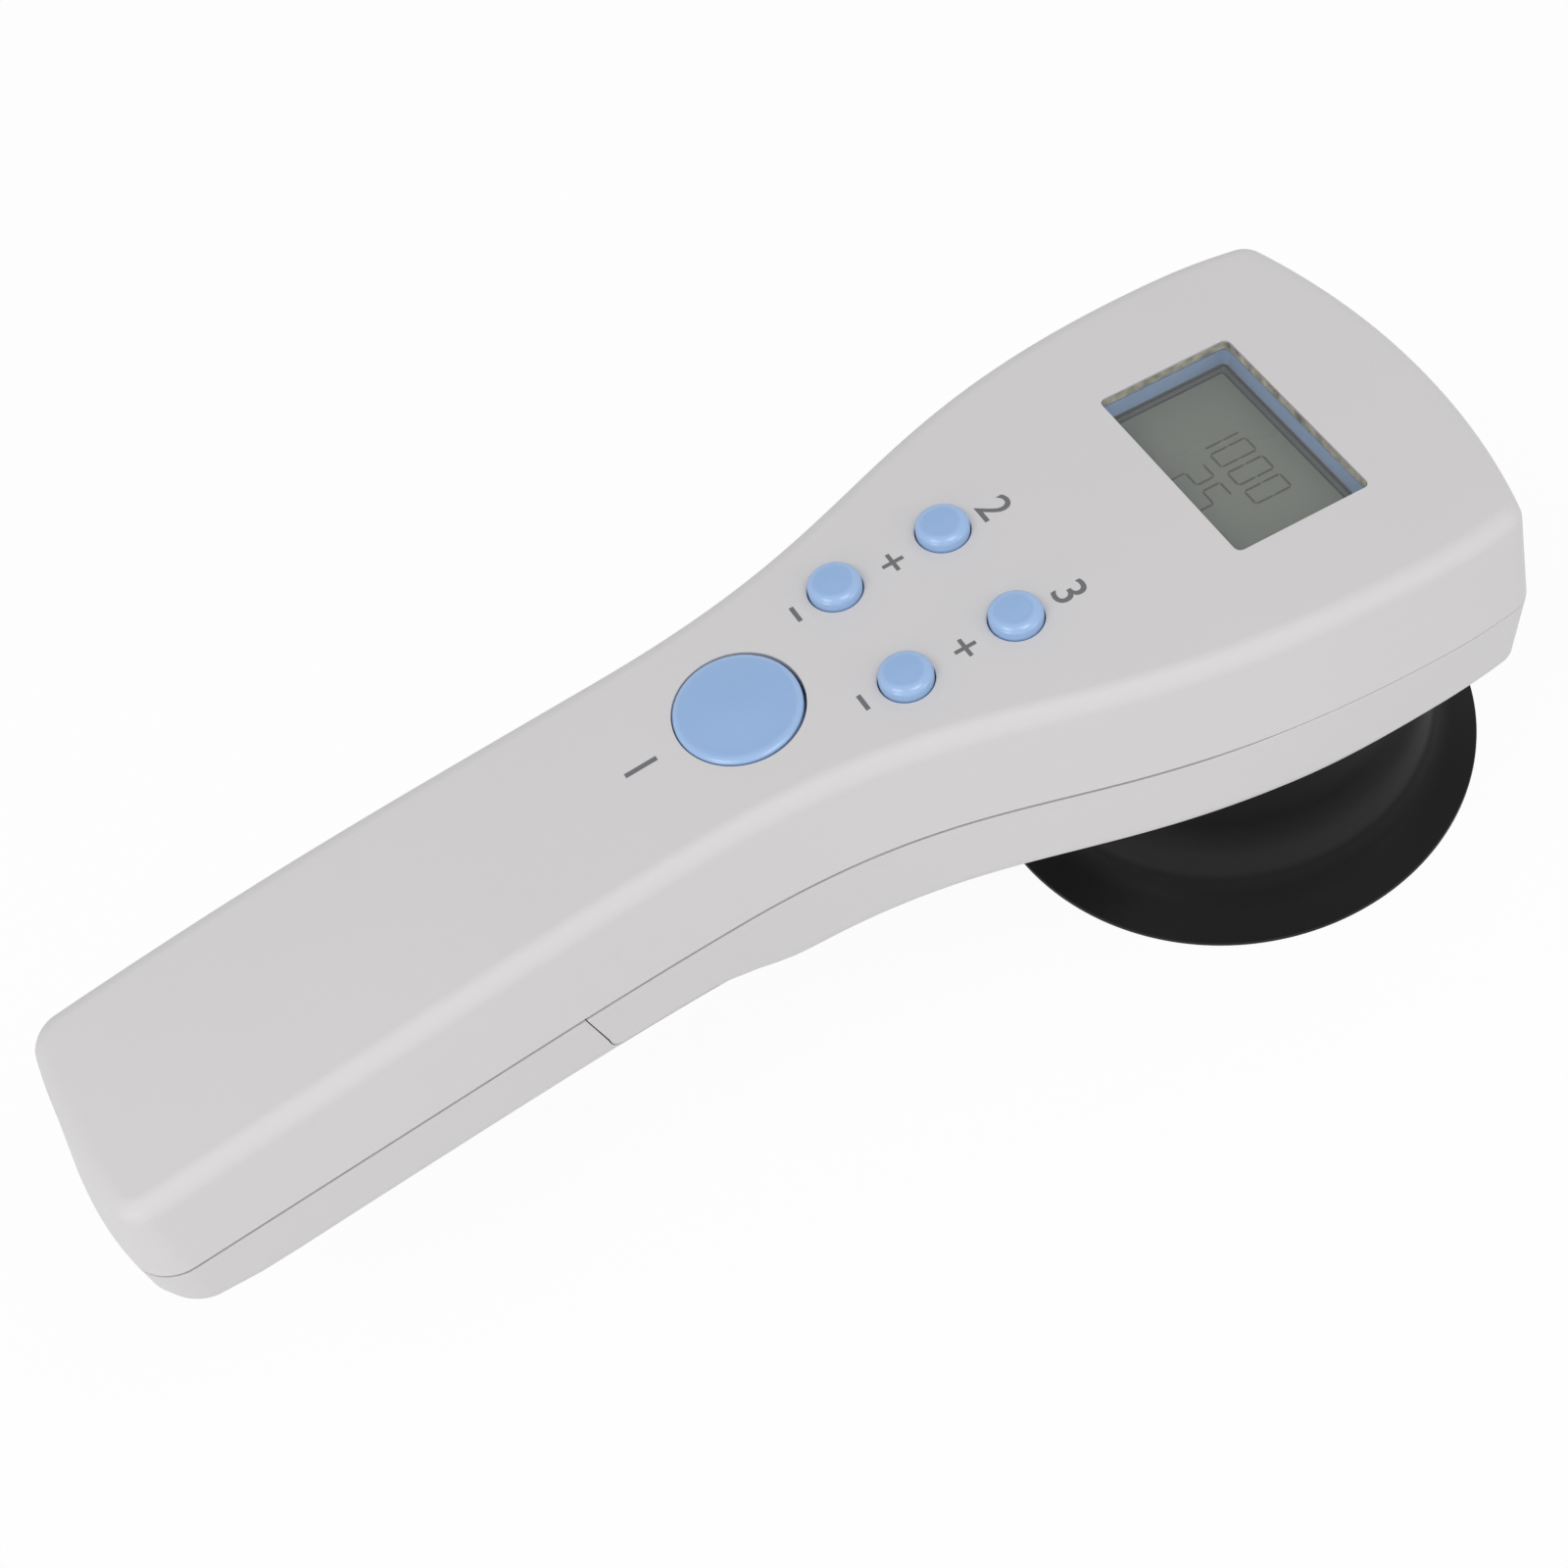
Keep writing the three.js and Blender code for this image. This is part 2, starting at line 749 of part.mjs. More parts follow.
function lowerShell() {
  const collar = cylinder(collarRadius, earX, 0, collarZ, floorZ(earX - collarRadius) + wall / 2);
  const hollow = casingBody([
    { offset: -wall - floorFillet, bow: floorBow, height: (x) => floorZ(x) + wall },
    { offset: -wall - floorFillet, bow: floorBow, height: seamZ },
  ]);
  const well = cylinder(collarRadius - collarWall, earX, 0, collarZ + padThickness, seamZ(earX));
  const tubes = posts(caseBosses, lowerBossRadius, (x) => floorZ(x) + wall / 2, (x) => seamZ(x) - seamGap);
  const below = (x) => floorZ(x) - overrun;
  const bores = [
    ...posts(caseBosses, screwBore, below, (x) => seamZ(x) + overrun),
    ...posts(caseBosses, counterboreRadius, below, (x) => floorZ(x) + counterboreDepth),
    ...posts(earphoneScrews, screwBore, () => collarZ - overrun, () => collarZ + padThickness + overrun),
  ];
  const leadHole = cylinder(leadHoleRadius, earX, 0, collarZ - overrun, collarZ + padThickness + wall);
  const shell = join([lowerSkin(true), collar.subtract(hollow), ...tubes]);
  return cut(shell, [well, ...bores, leadHole, coverRegion(seamGap)]);
}

function batteryCover() {
  const skin = lowerSkin(false).intersect(coverRegion(0));
  const tongue = block(
    [coverPanelEndX - tongueRoot, -tongueHalf, coverPanelTop - wall / 2],
    [coverPanelEndX, tongueHalf, tongueTop],
  ).add(
    block(
      [coverPanelEndX - tongueRoot, -tongueHalf, tongueBottom],
      [coverPanelEndX + tongueLength, tongueHalf, tongueTop],
    ),
  );
  const ribs = runnerPlaces.map(([x, side]) => {
    const near = side * (traySideY + trayWall + seatGap);
    const deep = side * waistHalf;
    const ribBottom = runnerZ + runnerThickness + seatGap;
    return block(
      [x - runnerLength / 2, Math.min(near, deep), ribBottom],
      [x + runnerLength / 2, Math.max(near, deep), ribBottom + runnerThickness],
    );
  });
  const grips = Array.from({ length: coverGripCount }, (_, i) => {
    const x = coverGripX + i * coverGripPitch;
    return block(
      [x - coverGripWidth / 2, -coverGripHalf, floorZ(x) - overrun],
      [x + coverGripWidth / 2, coverGripHalf, floorZ(x) + coverGripDepth],
    );
  });
  return cut(join([skin, tongue, ...ribs]), grips);
}

// Keys and switches

function keyCap({ x, y, hole, rise, dome, sides }) {
  const face = faceZ(x);
  const radius = hole - keyGap;
  const flangeTop = face - wall - guideHeight - seatGap;
  const flangeBottom = flangeTop - keyFlangeThickness;
  const rim = face + rise;
  const underside = face - wall / 2 - keySkin / 2;
  const postBottom = plungerTopZ() + seatGap;
  const inner = Math.max(radius - keySkin, keyPostRadius + keySkin / 2);
  return revolve(
    [
      [0, postBottom],
      [keyPostRadius, postBottom],
      [keyPostRadius, underside],
      [inner, underside],
      [inner, flangeBottom],
      [hole + keyFlange, flangeBottom],
      [hole + keyFlange, flangeTop],
      [radius, flangeTop],
      [radius, rim - keyEdge],
      [radius - keyEdge * (1 - Math.SQRT1_2), rim - keyEdge * (1 - Math.SQRT1_2)],
      [radius - keyEdge, rim],
      [radius / 2, rim + dome * domeMiddleShare],
      [0, rim + dome],
    ],
    x,
    y,
    sides,
  );
}

function plungerTopZ() {
  return boardTopZ + seatGap + switchHeight + plungerRise;
}

function switchBody({ x, y }) {
  const bottom = boardTopZ + seatGap;
  const top = bottom + switchHeight;
  const half = switchSize / 2;
  const body = block([x - half, y - half, bottom], [x + half, y + half, top]);
  return cut(body, [cylinder(plungerWell, x, y, top - plungerWellDepth, top + overrun, smallSides)]);
}

function plunger({ x, y }) {
  const bottom = boardTopZ + seatGap + switchHeight - plungerWellDepth + keyTravel + seatGap;
  return cylinder(plungerRadius, x, y, bottom, plungerTopZ(), smallSides);
}

// Display

function displayLens() {
  return facePlate(
    windowLength - 2 * lensGap,
    windowWidth - 2 * lensGap,
    -windowWall,
    -lensRecess,
  );
}

function displayFrame() {
  const body = facePlate(frameLength, frameWidth, frameBottom, frameTop);
  return cut(body, [
    facePlate(windowLength, windowWidth, frameBottom - overrun, frameTop + overrun),
  ]);
}

const lcdPanel = () => facePlate(lcdLength, lcdWidth, lcdBottom, lcdTop);

// The space that the display glass needs, open upwards.
const lcdRoom = () =>
  facePlate(lcdLength + 2 * seatGap, lcdWidth + 2 * seatGap, lcdBottom - seatGap, overrun);

function lcdHolder() {
  const halfX = lcdLength / 2 + seatGap + holderWall;
  const halfY = lcdWidth / 2 + seatGap + holderWall;
  const tall = block(
    [windowX - halfX, -halfY, boardTopZ + seatGap],
    [windowX + halfX, halfY, faceZ(windowX)],
  );
  const above = facePlate(
    2 * (halfX + overrun),
    2 * (halfY + overrun),
    lcdTop - seatGap,
    faceZ(windowX) - boardTopZ,
  );
  const middle = block(
    [windowX - halfX + holderWall + holderLedge, -halfY + holderWall + holderLedge, 0],
    [windowX + halfX - holderWall - holderLedge, halfY - holderWall - holderLedge, faceZ(windowX)],
  );
  return cut(tall, [above, lcdRoom(), middle]);
}

function lcdStrip(side) {
  const edge = lcdLength / 2 - holderLedge - stripWidth / 2 - seatGap;
  const x = windowX + side * edge;
  const tall = block(
    [x - stripWidth / 2, -stripLength / 2, boardTopZ + seatGap],
    [x + stripWidth / 2, stripLength / 2, faceZ(windowX)],
  );
  return cut(tall, [lcdRoom()]);
}

// Board

// Half width of the casing's edge at x, read off the half outline.
function halfWidthAt(x) {
  const points = halfOutline(0);
  const next = points.findIndex(([px]) => px >= x);
  const [x0, y0] = points[next - 1];
  const [x1, y1] = points[next];
  return THREE.MathUtils.mapLinear(x, x0, x1, y0, y1);
}

function mainBoard() {
  const shape = new THREE.Shape();
  const stations = Array.from({ length: boardSteps + 1 }, (_, i) =>
    THREE.MathUtils.lerp(boardRearX, boardFrontX, i / boardSteps),
  );
  const half = (x) => halfWidthAt(x) - wall - boardMargin;
  stations.forEach((x, i) => (i ? shape.lineTo(x, -half(x)) : shape.moveTo(x, -half(x))));
  [...stations].reverse().forEach((x) => shape.lineTo(x, half(x)));
  const blank = prism(shape, boardTopZ - boardThickness, boardTopZ);
  const low = boardTopZ - boardThickness - overrun;
  const high = boardTopZ + overrun;
  const holes = boardBosses.map(([x, y]) => cylinder(screwBore, x, y, low, high, smallSides));
  const room = upperBossRadius + seatGap;
  const notches = [-1, 1].map((side) => {
    const inner = side * (neckBossY - room);
    const outer = side * (bulgeHalf + overrun);
    return block(
      [neckBossX - room, Math.min(inner, outer), low],
      [neckBossX + room, Math.max(inner, outer), high],
    );
  });
  return cut(blank, [...holes, ...notches]);
}

// A block fixed on or under the board, centred over (x, y).
function boardPart(x, y, length, width, height, under) {
  const bottom = under
    ? boardTopZ - boardThickness - seatGap - height
    : boardTopZ + seatGap;
  return block(
    [x - length / 2, y - width / 2, bottom],
    [x + length / 2, y + width / 2, bottom + height],
  );
}

function socket(x) {
  const body = boardPart(x, 0, socketLength, socketWidth, socketHeight, true);
  const bottom = boardTopZ - boardThickness - seatGap - socketHeight;
  const holes = [-1, 1].map((side) =>
    cylinder(
      leadRadius + seatGap,
      x,
      (side * leadSpacing) / 2,
      bottom - overrun,
      bottom + socketHeight / 2,
      smallSides,
    ),
  );
  return cut(body, holes);
}

// Screws

// A pan head screw. Its shank points up or down from the bearing face of its head.
function screw([x, y], bearingZ, length, up) {
  const sign = up ? 1 : -1;
  const headEnd = bearingZ - sign * screwHeadHeight;
  const shankEnd = bearingZ + sign * length;
  const head = cylinder(
    screwHeadRadius,
    x,
    y,
    Math.min(headEnd, bearingZ),
    Math.max(headEnd, bearingZ),
    screwSides,
  );
  const shank = cylinder(
    screwRadius,
    x,
    y,
    Math.min(headEnd, shankEnd),
    Math.max(headEnd, shankEnd),
    screwSides,
  );
  const slotEnd = headEnd + sign * driveSlotDepth;
  const slotLow = Math.min(headEnd - sign * overrun, slotEnd);
  const slotHigh = Math.max(headEnd - sign * overrun, slotEnd);
  const reach = screwHeadRadius * driveSlotShare;
  const slots = [
    block([x - reach, y - driveSlotWidth / 2, slotLow], [x + reach, y + driveSlotWidth / 2, slotHigh]),
    block([x - driveSlotWidth / 2, y - reach, slotLow], [x + driveSlotWidth / 2, y + reach, slotHigh]),
  ];
  return cut(head.add(shank), slots);
}

// Earphone

const housingTopZ = collarZ - seatGap;
const housingRoofZ = housingTopZ - housingRoof;
const grilleTopZ = housingBottomZ + grilleThickness;
const basketTopZ = grilleTopZ + seatGap + basketHeight;
const magnetTopZ = basketTopZ + seatGap + magnetHeight;

function earphoneHousing() {
  const cup = revolve(
    [
      [leadHoleRadius, housingRoofZ],
      [housingBore, housingRoofZ],
      [housingBore, housingBottomZ],
      [housingRadius, housingBottomZ],
      [housingRadius, housingTopZ],
      [leadHoleRadius, housingTopZ],
      [leadHoleRadius, housingRoofZ],
    ],
    earX,
    0,
    cushionSegments,
  );
  const bossBottom = housingRoofZ - housingBossLength;
  const bosses = earphoneScrews.map(([x, y]) =>
    cylinder(housingBossRadius, x, y, bossBottom, housingTopZ - housingRoof / 2, smallSides),
  );
  const bores = earphoneScrews.map(([x, y]) =>
    cylinder(screwBore, x, y, bossBottom - overrun, housingTopZ + overrun, smallSides),
  );
  return cut(join([cup, ...bosses]), bores);
}

function earphoneGrille() {
  const radius = housingBore - seatGap;
  const plate = cylinder(radius, earX, 0, housingBottomZ, grilleTopZ, cushionSegments);
  const places = [[0, 0]];
  for (let ring = 1; ring <= grilleRings; ring += 1) {
    const count = grilleHolesPerRing * ring;
    for (let i = 0; i < count; i += 1) {
      const angle = (i * 2 * Math.PI) / count;
      const reach = ring * grilleRingStep;
      places.push([reach * Math.cos(angle), reach * Math.sin(angle)]);
    }
  }
  const holes = places.map(([x, y]) =>
    cylinder(grilleHoleRadius, earX + x, y, housingBottomZ - overrun, grilleTopZ + overrun, grilleHoleSides),
  );
  return cut(plate, holes);
}

function driverBasket() {
  const bottom = grilleTopZ + seatGap;
  const disc = cylinder(basketRadius, earX, 0, bottom, basketTopZ, cushionSegments);
  const terminals = [-1, 1].map((side) =>
    cylinder(
      terminalHoleRadius,
      earX - magnetRadius - terminalHoleRadius - seatGap,
      side * terminalHalfSpacing,
      bottom + basketHeight / 2,
      basketTopZ + overrun,
      smallSides,
    ),
  );
  return cut(disc, terminals);
}

const driverMagnet = () =>
  cylinder(magnetRadius, earX, 0, basketTopZ + seatGap, magnetTopZ, cushionSegments);

function earCushion() {
  const hold = housingRadius + seatGap;
  const shelf = housingBottomZ - seatGap;
  const bulge = new THREE.QuadraticBezierCurve(
    new THREE.Vector2(creaseRadius, creaseZ),
    new THREE.Vector2(creaseRadius + shoulderBulge, (creaseZ + shoulderTopZ) / 2),
    new THREE.Vector2(cushionNeckRadius, shoulderTopZ),
  );
  const shoulder = bulge.getPoints(shoulderRings).map((p) => [p.x, p.y]);
  return revolve(
    [
      [rimRadius - rimFace, 0],
      [rimRadius, 0],
      [rimRadius, rimThickness],
      ...shoulder,
      [cushionNeckRadius, cushionTopZ],
      [hold, cushionTopZ],
      [hold, shelf],
      [throatRadius, shelf],
      [throatRadius, throatZ],
      [bowlRadius, bowlZ],
      [rimRadius - rimFace, 0],
    ],
    earX,
    0,
    cushionSegments,
  );
}

// Batteries

function batteryTray() {
  const inX = trayRearX + trayEndWall;
  const outX = trayFrontX - trayEndWall;
  const low = runnerZ;
  const roof = trayTopZ - trayRoof;
  const sideOut = traySideY + trayWall;
  const walls = cut(
    block([trayRearX, -sideOut, low], [trayFrontX, sideOut, trayTopZ]),
    [block([inX, -traySideY, low - overrun], [outX, traySideY, roof])],
  );
  const tab = block(
    [trayFrontX - trayEndWall, -trayTabHalf, roof],
    [trayFrontX + trayTabLength, trayTabHalf, trayTopZ],
  );
  const reach = sideOut + runnerReach;
  const runners = runnerPlaces.map(([x, side]) =>
    block(
      [x - runnerLength / 2, Math.min(side * traySideY, side * reach), low],
      [x + runnerLength / 2, Math.max(side * traySideY, side * reach), low + runnerThickness],
    ),
  );
  const holes = trayBosses.map(([x, y]) =>
    cylinder(screwBore, x, y, roof - overrun, trayTopZ + overrun, smallSides),
  );
  return cut(join([walls, tab, ...runners]), holes);
}

const rearPlateX = trayRearX + trayEndWall + seatGap;
const frontPlateX = trayFrontX - trayEndWall - seatGap - contactThickness;

// A cell lying beside the middle. Its nub touches the plate at the front or the bridge at the rear.
function cell(side, nubForward) {
  const rear = nubForward
    ? frontPlateX - seatGap - cellLength
    : rearPlateX + contactThickness + seatGap;
  const bodyLength = cellLength - cellNubLength;
  const lie = (geometry, middle) => {
    geometry.rotateZ(Math.PI / 2);
    geometry.translate(middle, side * cellHalfSpacing, cellZ);
    return solid(geometry);
  };
  const bodyMiddle = rear + bodyLength / 2 + (nubForward ? 0 : cellNubLength);
  const body = lie(new THREE.CylinderGeometry(cellRadius, cellRadius, bodyLength, holeSides), bodyMiddle);
  const nub = lie(
    new THREE.CylinderGeometry(cellNubRadius, cellNubRadius, cellLength / 2, smallSides),
    rear + cellLength / 2 + ((nubForward ? 1 : -1) * cellLength) / 4,
  );
  return body.add(nub);
}

function contactPlate(x, fromY, toY) {
  return block(
    [x, fromY, cellZ - contactHeight / 2],
    [x + contactThickness, toY, cellZ + contactHeight / 2],
  );
}

// A coil spring along X that widens towards its plate, as one unbroken wire.
class ConeHelix extends THREE.Curve {
  constructor(startX, endX, y) {
    super();
    this.startX = startX;
    this.endX = endX;
    this.y = y;
  }
  getPoint(t, target = new THREE.Vector3()) {
    const angle = t * springTurns * 2 * Math.PI;
    const radius = THREE.MathUtils.lerp(springBaseRadius, springTopRadius, t);
    return target.set(
      THREE.MathUtils.lerp(this.startX, this.endX, t),
      this.y + radius * Math.cos(angle),
      cellZ + radius * Math.sin(angle),
    );
  }
}

function wireAlong(curve, radius, sides, steps) {
  const section = new THREE.Shape();
  for (let i = 0; i < sides; i += 1) {
    const angle = (i * 2 * Math.PI) / sides;
    const x = radius * Math.cos(angle);
    const y = radius * Math.sin(angle);
    if (i) section.lineTo(x, y);
    else section.moveTo(x, y);
  }
  return solid(new THREE.ExtrudeGeometry(section, { steps, extrudePath: curve, bevelEnabled: false }));
}

// Leads from the driver and from the tray, drawn up to the sockets under the board
function lead(points) {
  const curve = new THREE.CatmullRomCurve3(points.map((p) => new THREE.Vector3(...p)));
  return wireAlong(curve, leadRadius, leadSides, leadSteps);
}

function earphoneLead(side) {
  const startX = earX - magnetRadius - terminalHoleRadius - seatGap;
  const startY = side * terminalHalfSpacing;
  const socketZ = boardTopZ - boardThickness - seatGap - socketHeight;
  const throughX = earX - leadHoleRadius / 2;
  const y = (side * leadSpacing) / 2;
  return lead([
    [startX, startY, basketTopZ - basketHeight / 2 + seatGap + leadRadius],
    [startX, startY, basketTopZ + leadSag],
    [throughX, y, housingRoofZ - leadRadius],
    [throughX, y, collarZ + padThickness],
    [(throughX + earphoneSocketX) / 2, y, socketZ - 2 * leadSag],
    [earphoneSocketX, y, socketZ - leadSag],
    [earphoneSocketX, y, socketZ + socketHeight / 2 - seatGap],
  ]);
}

function batteryLead(side) {
  const socketZ = boardTopZ - boardThickness - seatGap - socketHeight;
  const y = (side * leadSpacing) / 2;
  const startX = trayFrontX + seatGap;
  const startY = side * cellHalfSpacing;
  return lead([
    [startX, startY, cellZ],
    [startX + leadSag, startY, cellZ],
    [(startX + batterySocketX) / 2, (startY + y) / 2, socketZ - leadDip],
    [batterySocketX, y, socketZ - leadDip],
    [batterySocketX, y, socketZ + socketHeight / 2 - seatGap],
  ]);
}

// Materials
const plastic = (color, roughness = 0.5) =>
  new THREE.MeshStandardMaterial({ color, roughness, metalness: 0 });
const metal = (color, roughness = 0.35) =>
  new THREE.MeshStandardMaterial({ color, roughness, metalness: 1 });
const materials = {
  casing: plastic(0xcfcdcd, 0.55),
  key: plastic(0x99b6db, 0.4),
  lens: new THREE.MeshStandardMaterial({
    color: 0xe8ecee,
    roughness: 0.05,
    metalness: 0,
    transparent: true,
    opacity: 0.3,
  }),
  frame: plastic(0x7f97b4, 0.4),
  lcd: plastic(0x787d76, 0.2),
  dark: plastic(0x232323, 0.6),
  rubber: plastic(0x242424, 0.75),
  board: plastic(0x2f6b45, 0.5),
  pale: plastic(0xe6e3da, 0.5),
  steel: metal(0xb9bcc0),
  cell: metal(0x8f9499, 0.4),
  redLead: plastic(0xa83228, 0.5),
  blackLead: plastic(0x202020, 0.5),
};

// The part's own frame has its origin under the middle of the whole length.
const middleX = (handleEndX - draft - seamBow + earX + rimRadius) / 2;

const audiometer = new THREE.Group();
function place(name, shape, material) {
  const geometry = geometryOf(shape);
  geometry.translate(-middleX, 0, 0);
  const mesh = new THREE.Mesh(geometry, material);
  mesh.name = name;
  audiometer.add(mesh);
}

place("upper_shell", upperShell(), materials.casing);
place("lower_shell", lowerShell(), materials.casing);
place("battery_cover", batteryCover(), materials.casing);
place("display_lens", displayLens(), materials.lens);
place("display_frame", displayFrame(), materials.frame);
place("lcd_panel", lcdPanel(), materials.lcd);
place("lcd_holder", lcdHolder(), materials.pale);
place("lcd_strip_rear", lcdStrip(-1), materials.dark);
place("lcd_strip_front", lcdStrip(1), materials.dark);
keys.forEach((key) => {
  place(key.name + "_key", keyCap(key), materials.key);
  place(key.name + "_plunger", plunger(key), materials.dark);
  place(key.name + "_switch", switchBody(key), materials.dark);
});
place("main_board", mainBoard(), materials.board);
place("processor_chip", boardPart(chipX, 0, chipSize, chipSize, chipHeight, false), materials.dark);
place(
  "tone_chip",
  boardPart(toneChipX, 0, toneChipLength, toneChipWidth, chipHeight, true),
  materials.dark,
);
place(
  "crystal",
  boardPart(crystalX, 0, crystalLength, crystalWidth, crystalHeight, true),
  materials.steel,
);
place("earphone_socket", socket(earphoneSocketX), materials.pale);
place("battery_socket", socket(batterySocketX), materials.pale);

place("earphone_housing", earphoneHousing(), materials.dark);
place("earphone_grille", earphoneGrille(), materials.dark);
place("driver_basket", driverBasket(), materials.steel);
place("driver_magnet", driverMagnet(), materials.steel);
place("ear_cushion", earCushion(), materials.rubber);
place("earphone_lead_a", earphoneLead(1), materials.redLead);
place("earphone_lead_b", earphoneLead(-1), materials.blackLead);

place("battery_tray", batteryTray(), materials.dark);
place("battery_cell_a", cell(1, true), materials.cell);
place("battery_cell_b", cell(-1, false), materials.cell);
const contactInner = cellHalfSpacing - contactWidth / 2;
const contactOuter = cellHalfSpacing + contactWidth / 2;
place("contact_bridge_rear", contactPlate(rearPlateX, -contactOuter, contactOuter), materials.steel);
place("contact_plate_front", contactPlate(frontPlateX, contactInner, contactOuter), materials.steel);
const springFrom = rearPlateX + contactThickness + seatGap + springWire;
place(
  "contact_spring_rear",
  wireAlong(
    new ConeHelix(springFrom, springFrom + springLength, cellHalfSpacing),
    springWire,
    springSides,
    springTurns * springStepsPerTurn,
  ),
  materials.steel,
);
const springTo = trayFrontX - trayEndWall - seatGap - springWire;
place(
  "contact_spring_front",
  wireAlong(
    new ConeHelix(springTo, springTo - springLength, -cellHalfSpacing),
    springWire,
    springSides,
    springTurns * springStepsPerTurn,
  ),
  materials.steel,
);
place("battery_lead_a", batteryLead(1), materials.redLead);
place("battery_lead_b", batteryLead(-1), materials.blackLead);

caseBosses.forEach((at, i) => {
  const bearing = floorZ(at[0]) + counterboreDepth - seatGap;
  place("case_screw_" + (i + 1), screw(at, bearing, caseScrewLength, true), materials.steel);
});
boardBosses.forEach((at, i) => {
  const bearing = boardTopZ - boardThickness - seatGap;
  place("board_screw_" + (i + 1), screw(at, bearing, boardScrewLength, true), materials.steel);
});
trayBosses.forEach((at, i) => {
  const bearing = trayTopZ - trayRoof - seatGap;
  place("tray_screw_" + (i + 1), screw(at, bearing, trayScrewLength, true), materials.steel);
});
earphoneScrews.forEach((at, i) => {
  const bearing = collarZ + padThickness + seatGap;
  place("earphone_screw_" + (i + 1), screw(at, bearing, earphoneScrewLength, false), materials.steel);
});

export default audiometer;
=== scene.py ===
"""Looks of the handheld audiometer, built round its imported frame.

Shapes are worked out in millimetres in the part's drawing frame, whose z = 0 is the plane of the
cushion's rim, and turned to metres in the row frame when a mesh is made.
"""
import math

import bmesh
import bpy
import numpy as np
from mathutils import Euler, Matrix, Vector

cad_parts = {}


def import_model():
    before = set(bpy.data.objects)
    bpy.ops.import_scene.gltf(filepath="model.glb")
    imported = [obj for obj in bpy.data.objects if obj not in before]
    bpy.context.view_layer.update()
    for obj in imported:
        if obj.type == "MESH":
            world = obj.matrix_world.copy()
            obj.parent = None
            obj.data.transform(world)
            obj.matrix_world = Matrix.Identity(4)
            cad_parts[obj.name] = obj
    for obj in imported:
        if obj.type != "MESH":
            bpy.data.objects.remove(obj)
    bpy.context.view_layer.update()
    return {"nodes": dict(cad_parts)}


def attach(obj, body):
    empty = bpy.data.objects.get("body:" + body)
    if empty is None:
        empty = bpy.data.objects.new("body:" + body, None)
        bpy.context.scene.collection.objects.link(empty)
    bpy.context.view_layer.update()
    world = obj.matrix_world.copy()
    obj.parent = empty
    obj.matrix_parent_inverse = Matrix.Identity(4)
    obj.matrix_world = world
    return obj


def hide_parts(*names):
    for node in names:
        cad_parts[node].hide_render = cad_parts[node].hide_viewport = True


MM = 0.001
IMAGE_SIDE = 1600

# Casing outline seen from above, at the edge of the face
HANDLE_END_X = -88.0
HANDLE_END_HALF = 14.6
HANDLE_END_SLOPE_SHARE = 0.009
HANDLE_REACH = 36.0
WAIST_X = -15.2
WAIST_HALF = 14.05
WAIST_REACH_REAR = 24.0
WAIST_REACH_FRONT = 37.0
BULGE_X = 66.9
BULGE_HALF = 27.85
BULGE_REACH_REAR = 42.2
BULGE_REACH_FRONT = 4.9
SHOULDER_X = 80.0
SHOULDER_HALF = 26.85
SHOULDER_SLOPE_SHARE = -0.16
SHOULDER_REACH = 5.0
HEAD_END_X = 86.75
CORNER_RADIUS = 3.4
LEAST_CORNER_SHARE = 0.08

# Casing seen from the side
FACE_CROWN_X = -10.0
FACE_RADIUS = 684.0
SEAM_CROWN_X = -26.0
SEAM_DEPTH = 14.75
SEAM_RADIUS = 800.0
HANDLE_FLOOR_CROWN_X = -39.0
HANDLE_DEPTH = 26.0
HANDLE_FLOOR_RADIUS = 500.0
HEAD_DEPTH = 29.4
STEP_START_X = -19.5
STEP_END_X = -8.5
END_LIFT_HEIGHT = 3.4
END_LIFT_LENGTH = 12.7
FACE_BOW = 1.3
SEAM_BOW = 2.3
FLOOR_BOW = 2.65
BOW_POWER = 2.2
HEAD_TUCK = 0.8
TUCK_START_X = 50.0
TUCK_END_X = 76.0

# Casing walls
WALL = 2.0
DRAFT = 1.05
FLOOR_DRAFT = 0.75
FACE_FILLET = 2.4
FLOOR_FILLET = 3.2
INNER_FILLET = 0.9
SEAM_GAP = 0.46
CLOSED_SEAM_GAP = 0.14
SEAM_CLOSE_START_X = 34.0
SEAM_CLOSE_END_X = 52.0
SEAM_ROUND = 0.08
LIP_HEIGHT = 1.2
LIP_THICKNESS = 0.4
LIP_CLEARANCE = 0.3
HANDLE_LIP_END_X = -38.5
SEAT_GAP = 0.3
OVERRUN = 2.0

# Battery cover
COVER_EDGE_X = -35.5
COVER_EDGE_LEAN = 1.4
COVER_EDGE_DROP = 6.8
COVER_EDGE_CURVE = 2.45
COVER_LINE_GAP = 0.16
COVER_PANEL_END_X = -20.3
COVER_PANEL_INSET = 0.35
TONGUE_HALF = 7.0
TONGUE_LENGTH = 3.0
TONGUE_THICKNESS = 1.1
TONGUE_ROOT = 4.0
GRIP_COUNT = 5
GRIP_PITCH = 2.4
GRIP_DEPTH = 0.5
GRIP_WIDTH = 1.0
GRIP_HALF = 7.5
GRIP_X = -72.0

# Display
WINDOW_X = 61.2
WINDOW_LENGTH = 17.93
WINDOW_WIDTH = 27.74
WINDOW_RADIUS = 0.8
WINDOW_WALL = 1.4
WINDOW_EDGE = 0.15
LENS_RECESS = 0.3
LENS_GAP = 0.05
FRAME_LENGTH = 24.0
FRAME_WIDTH = 34.0
FRAME_DEPTH = 2.3
LCD_LENGTH = 23.0
LCD_WIDTH = 36.0
LCD_THICKNESS = 2.8

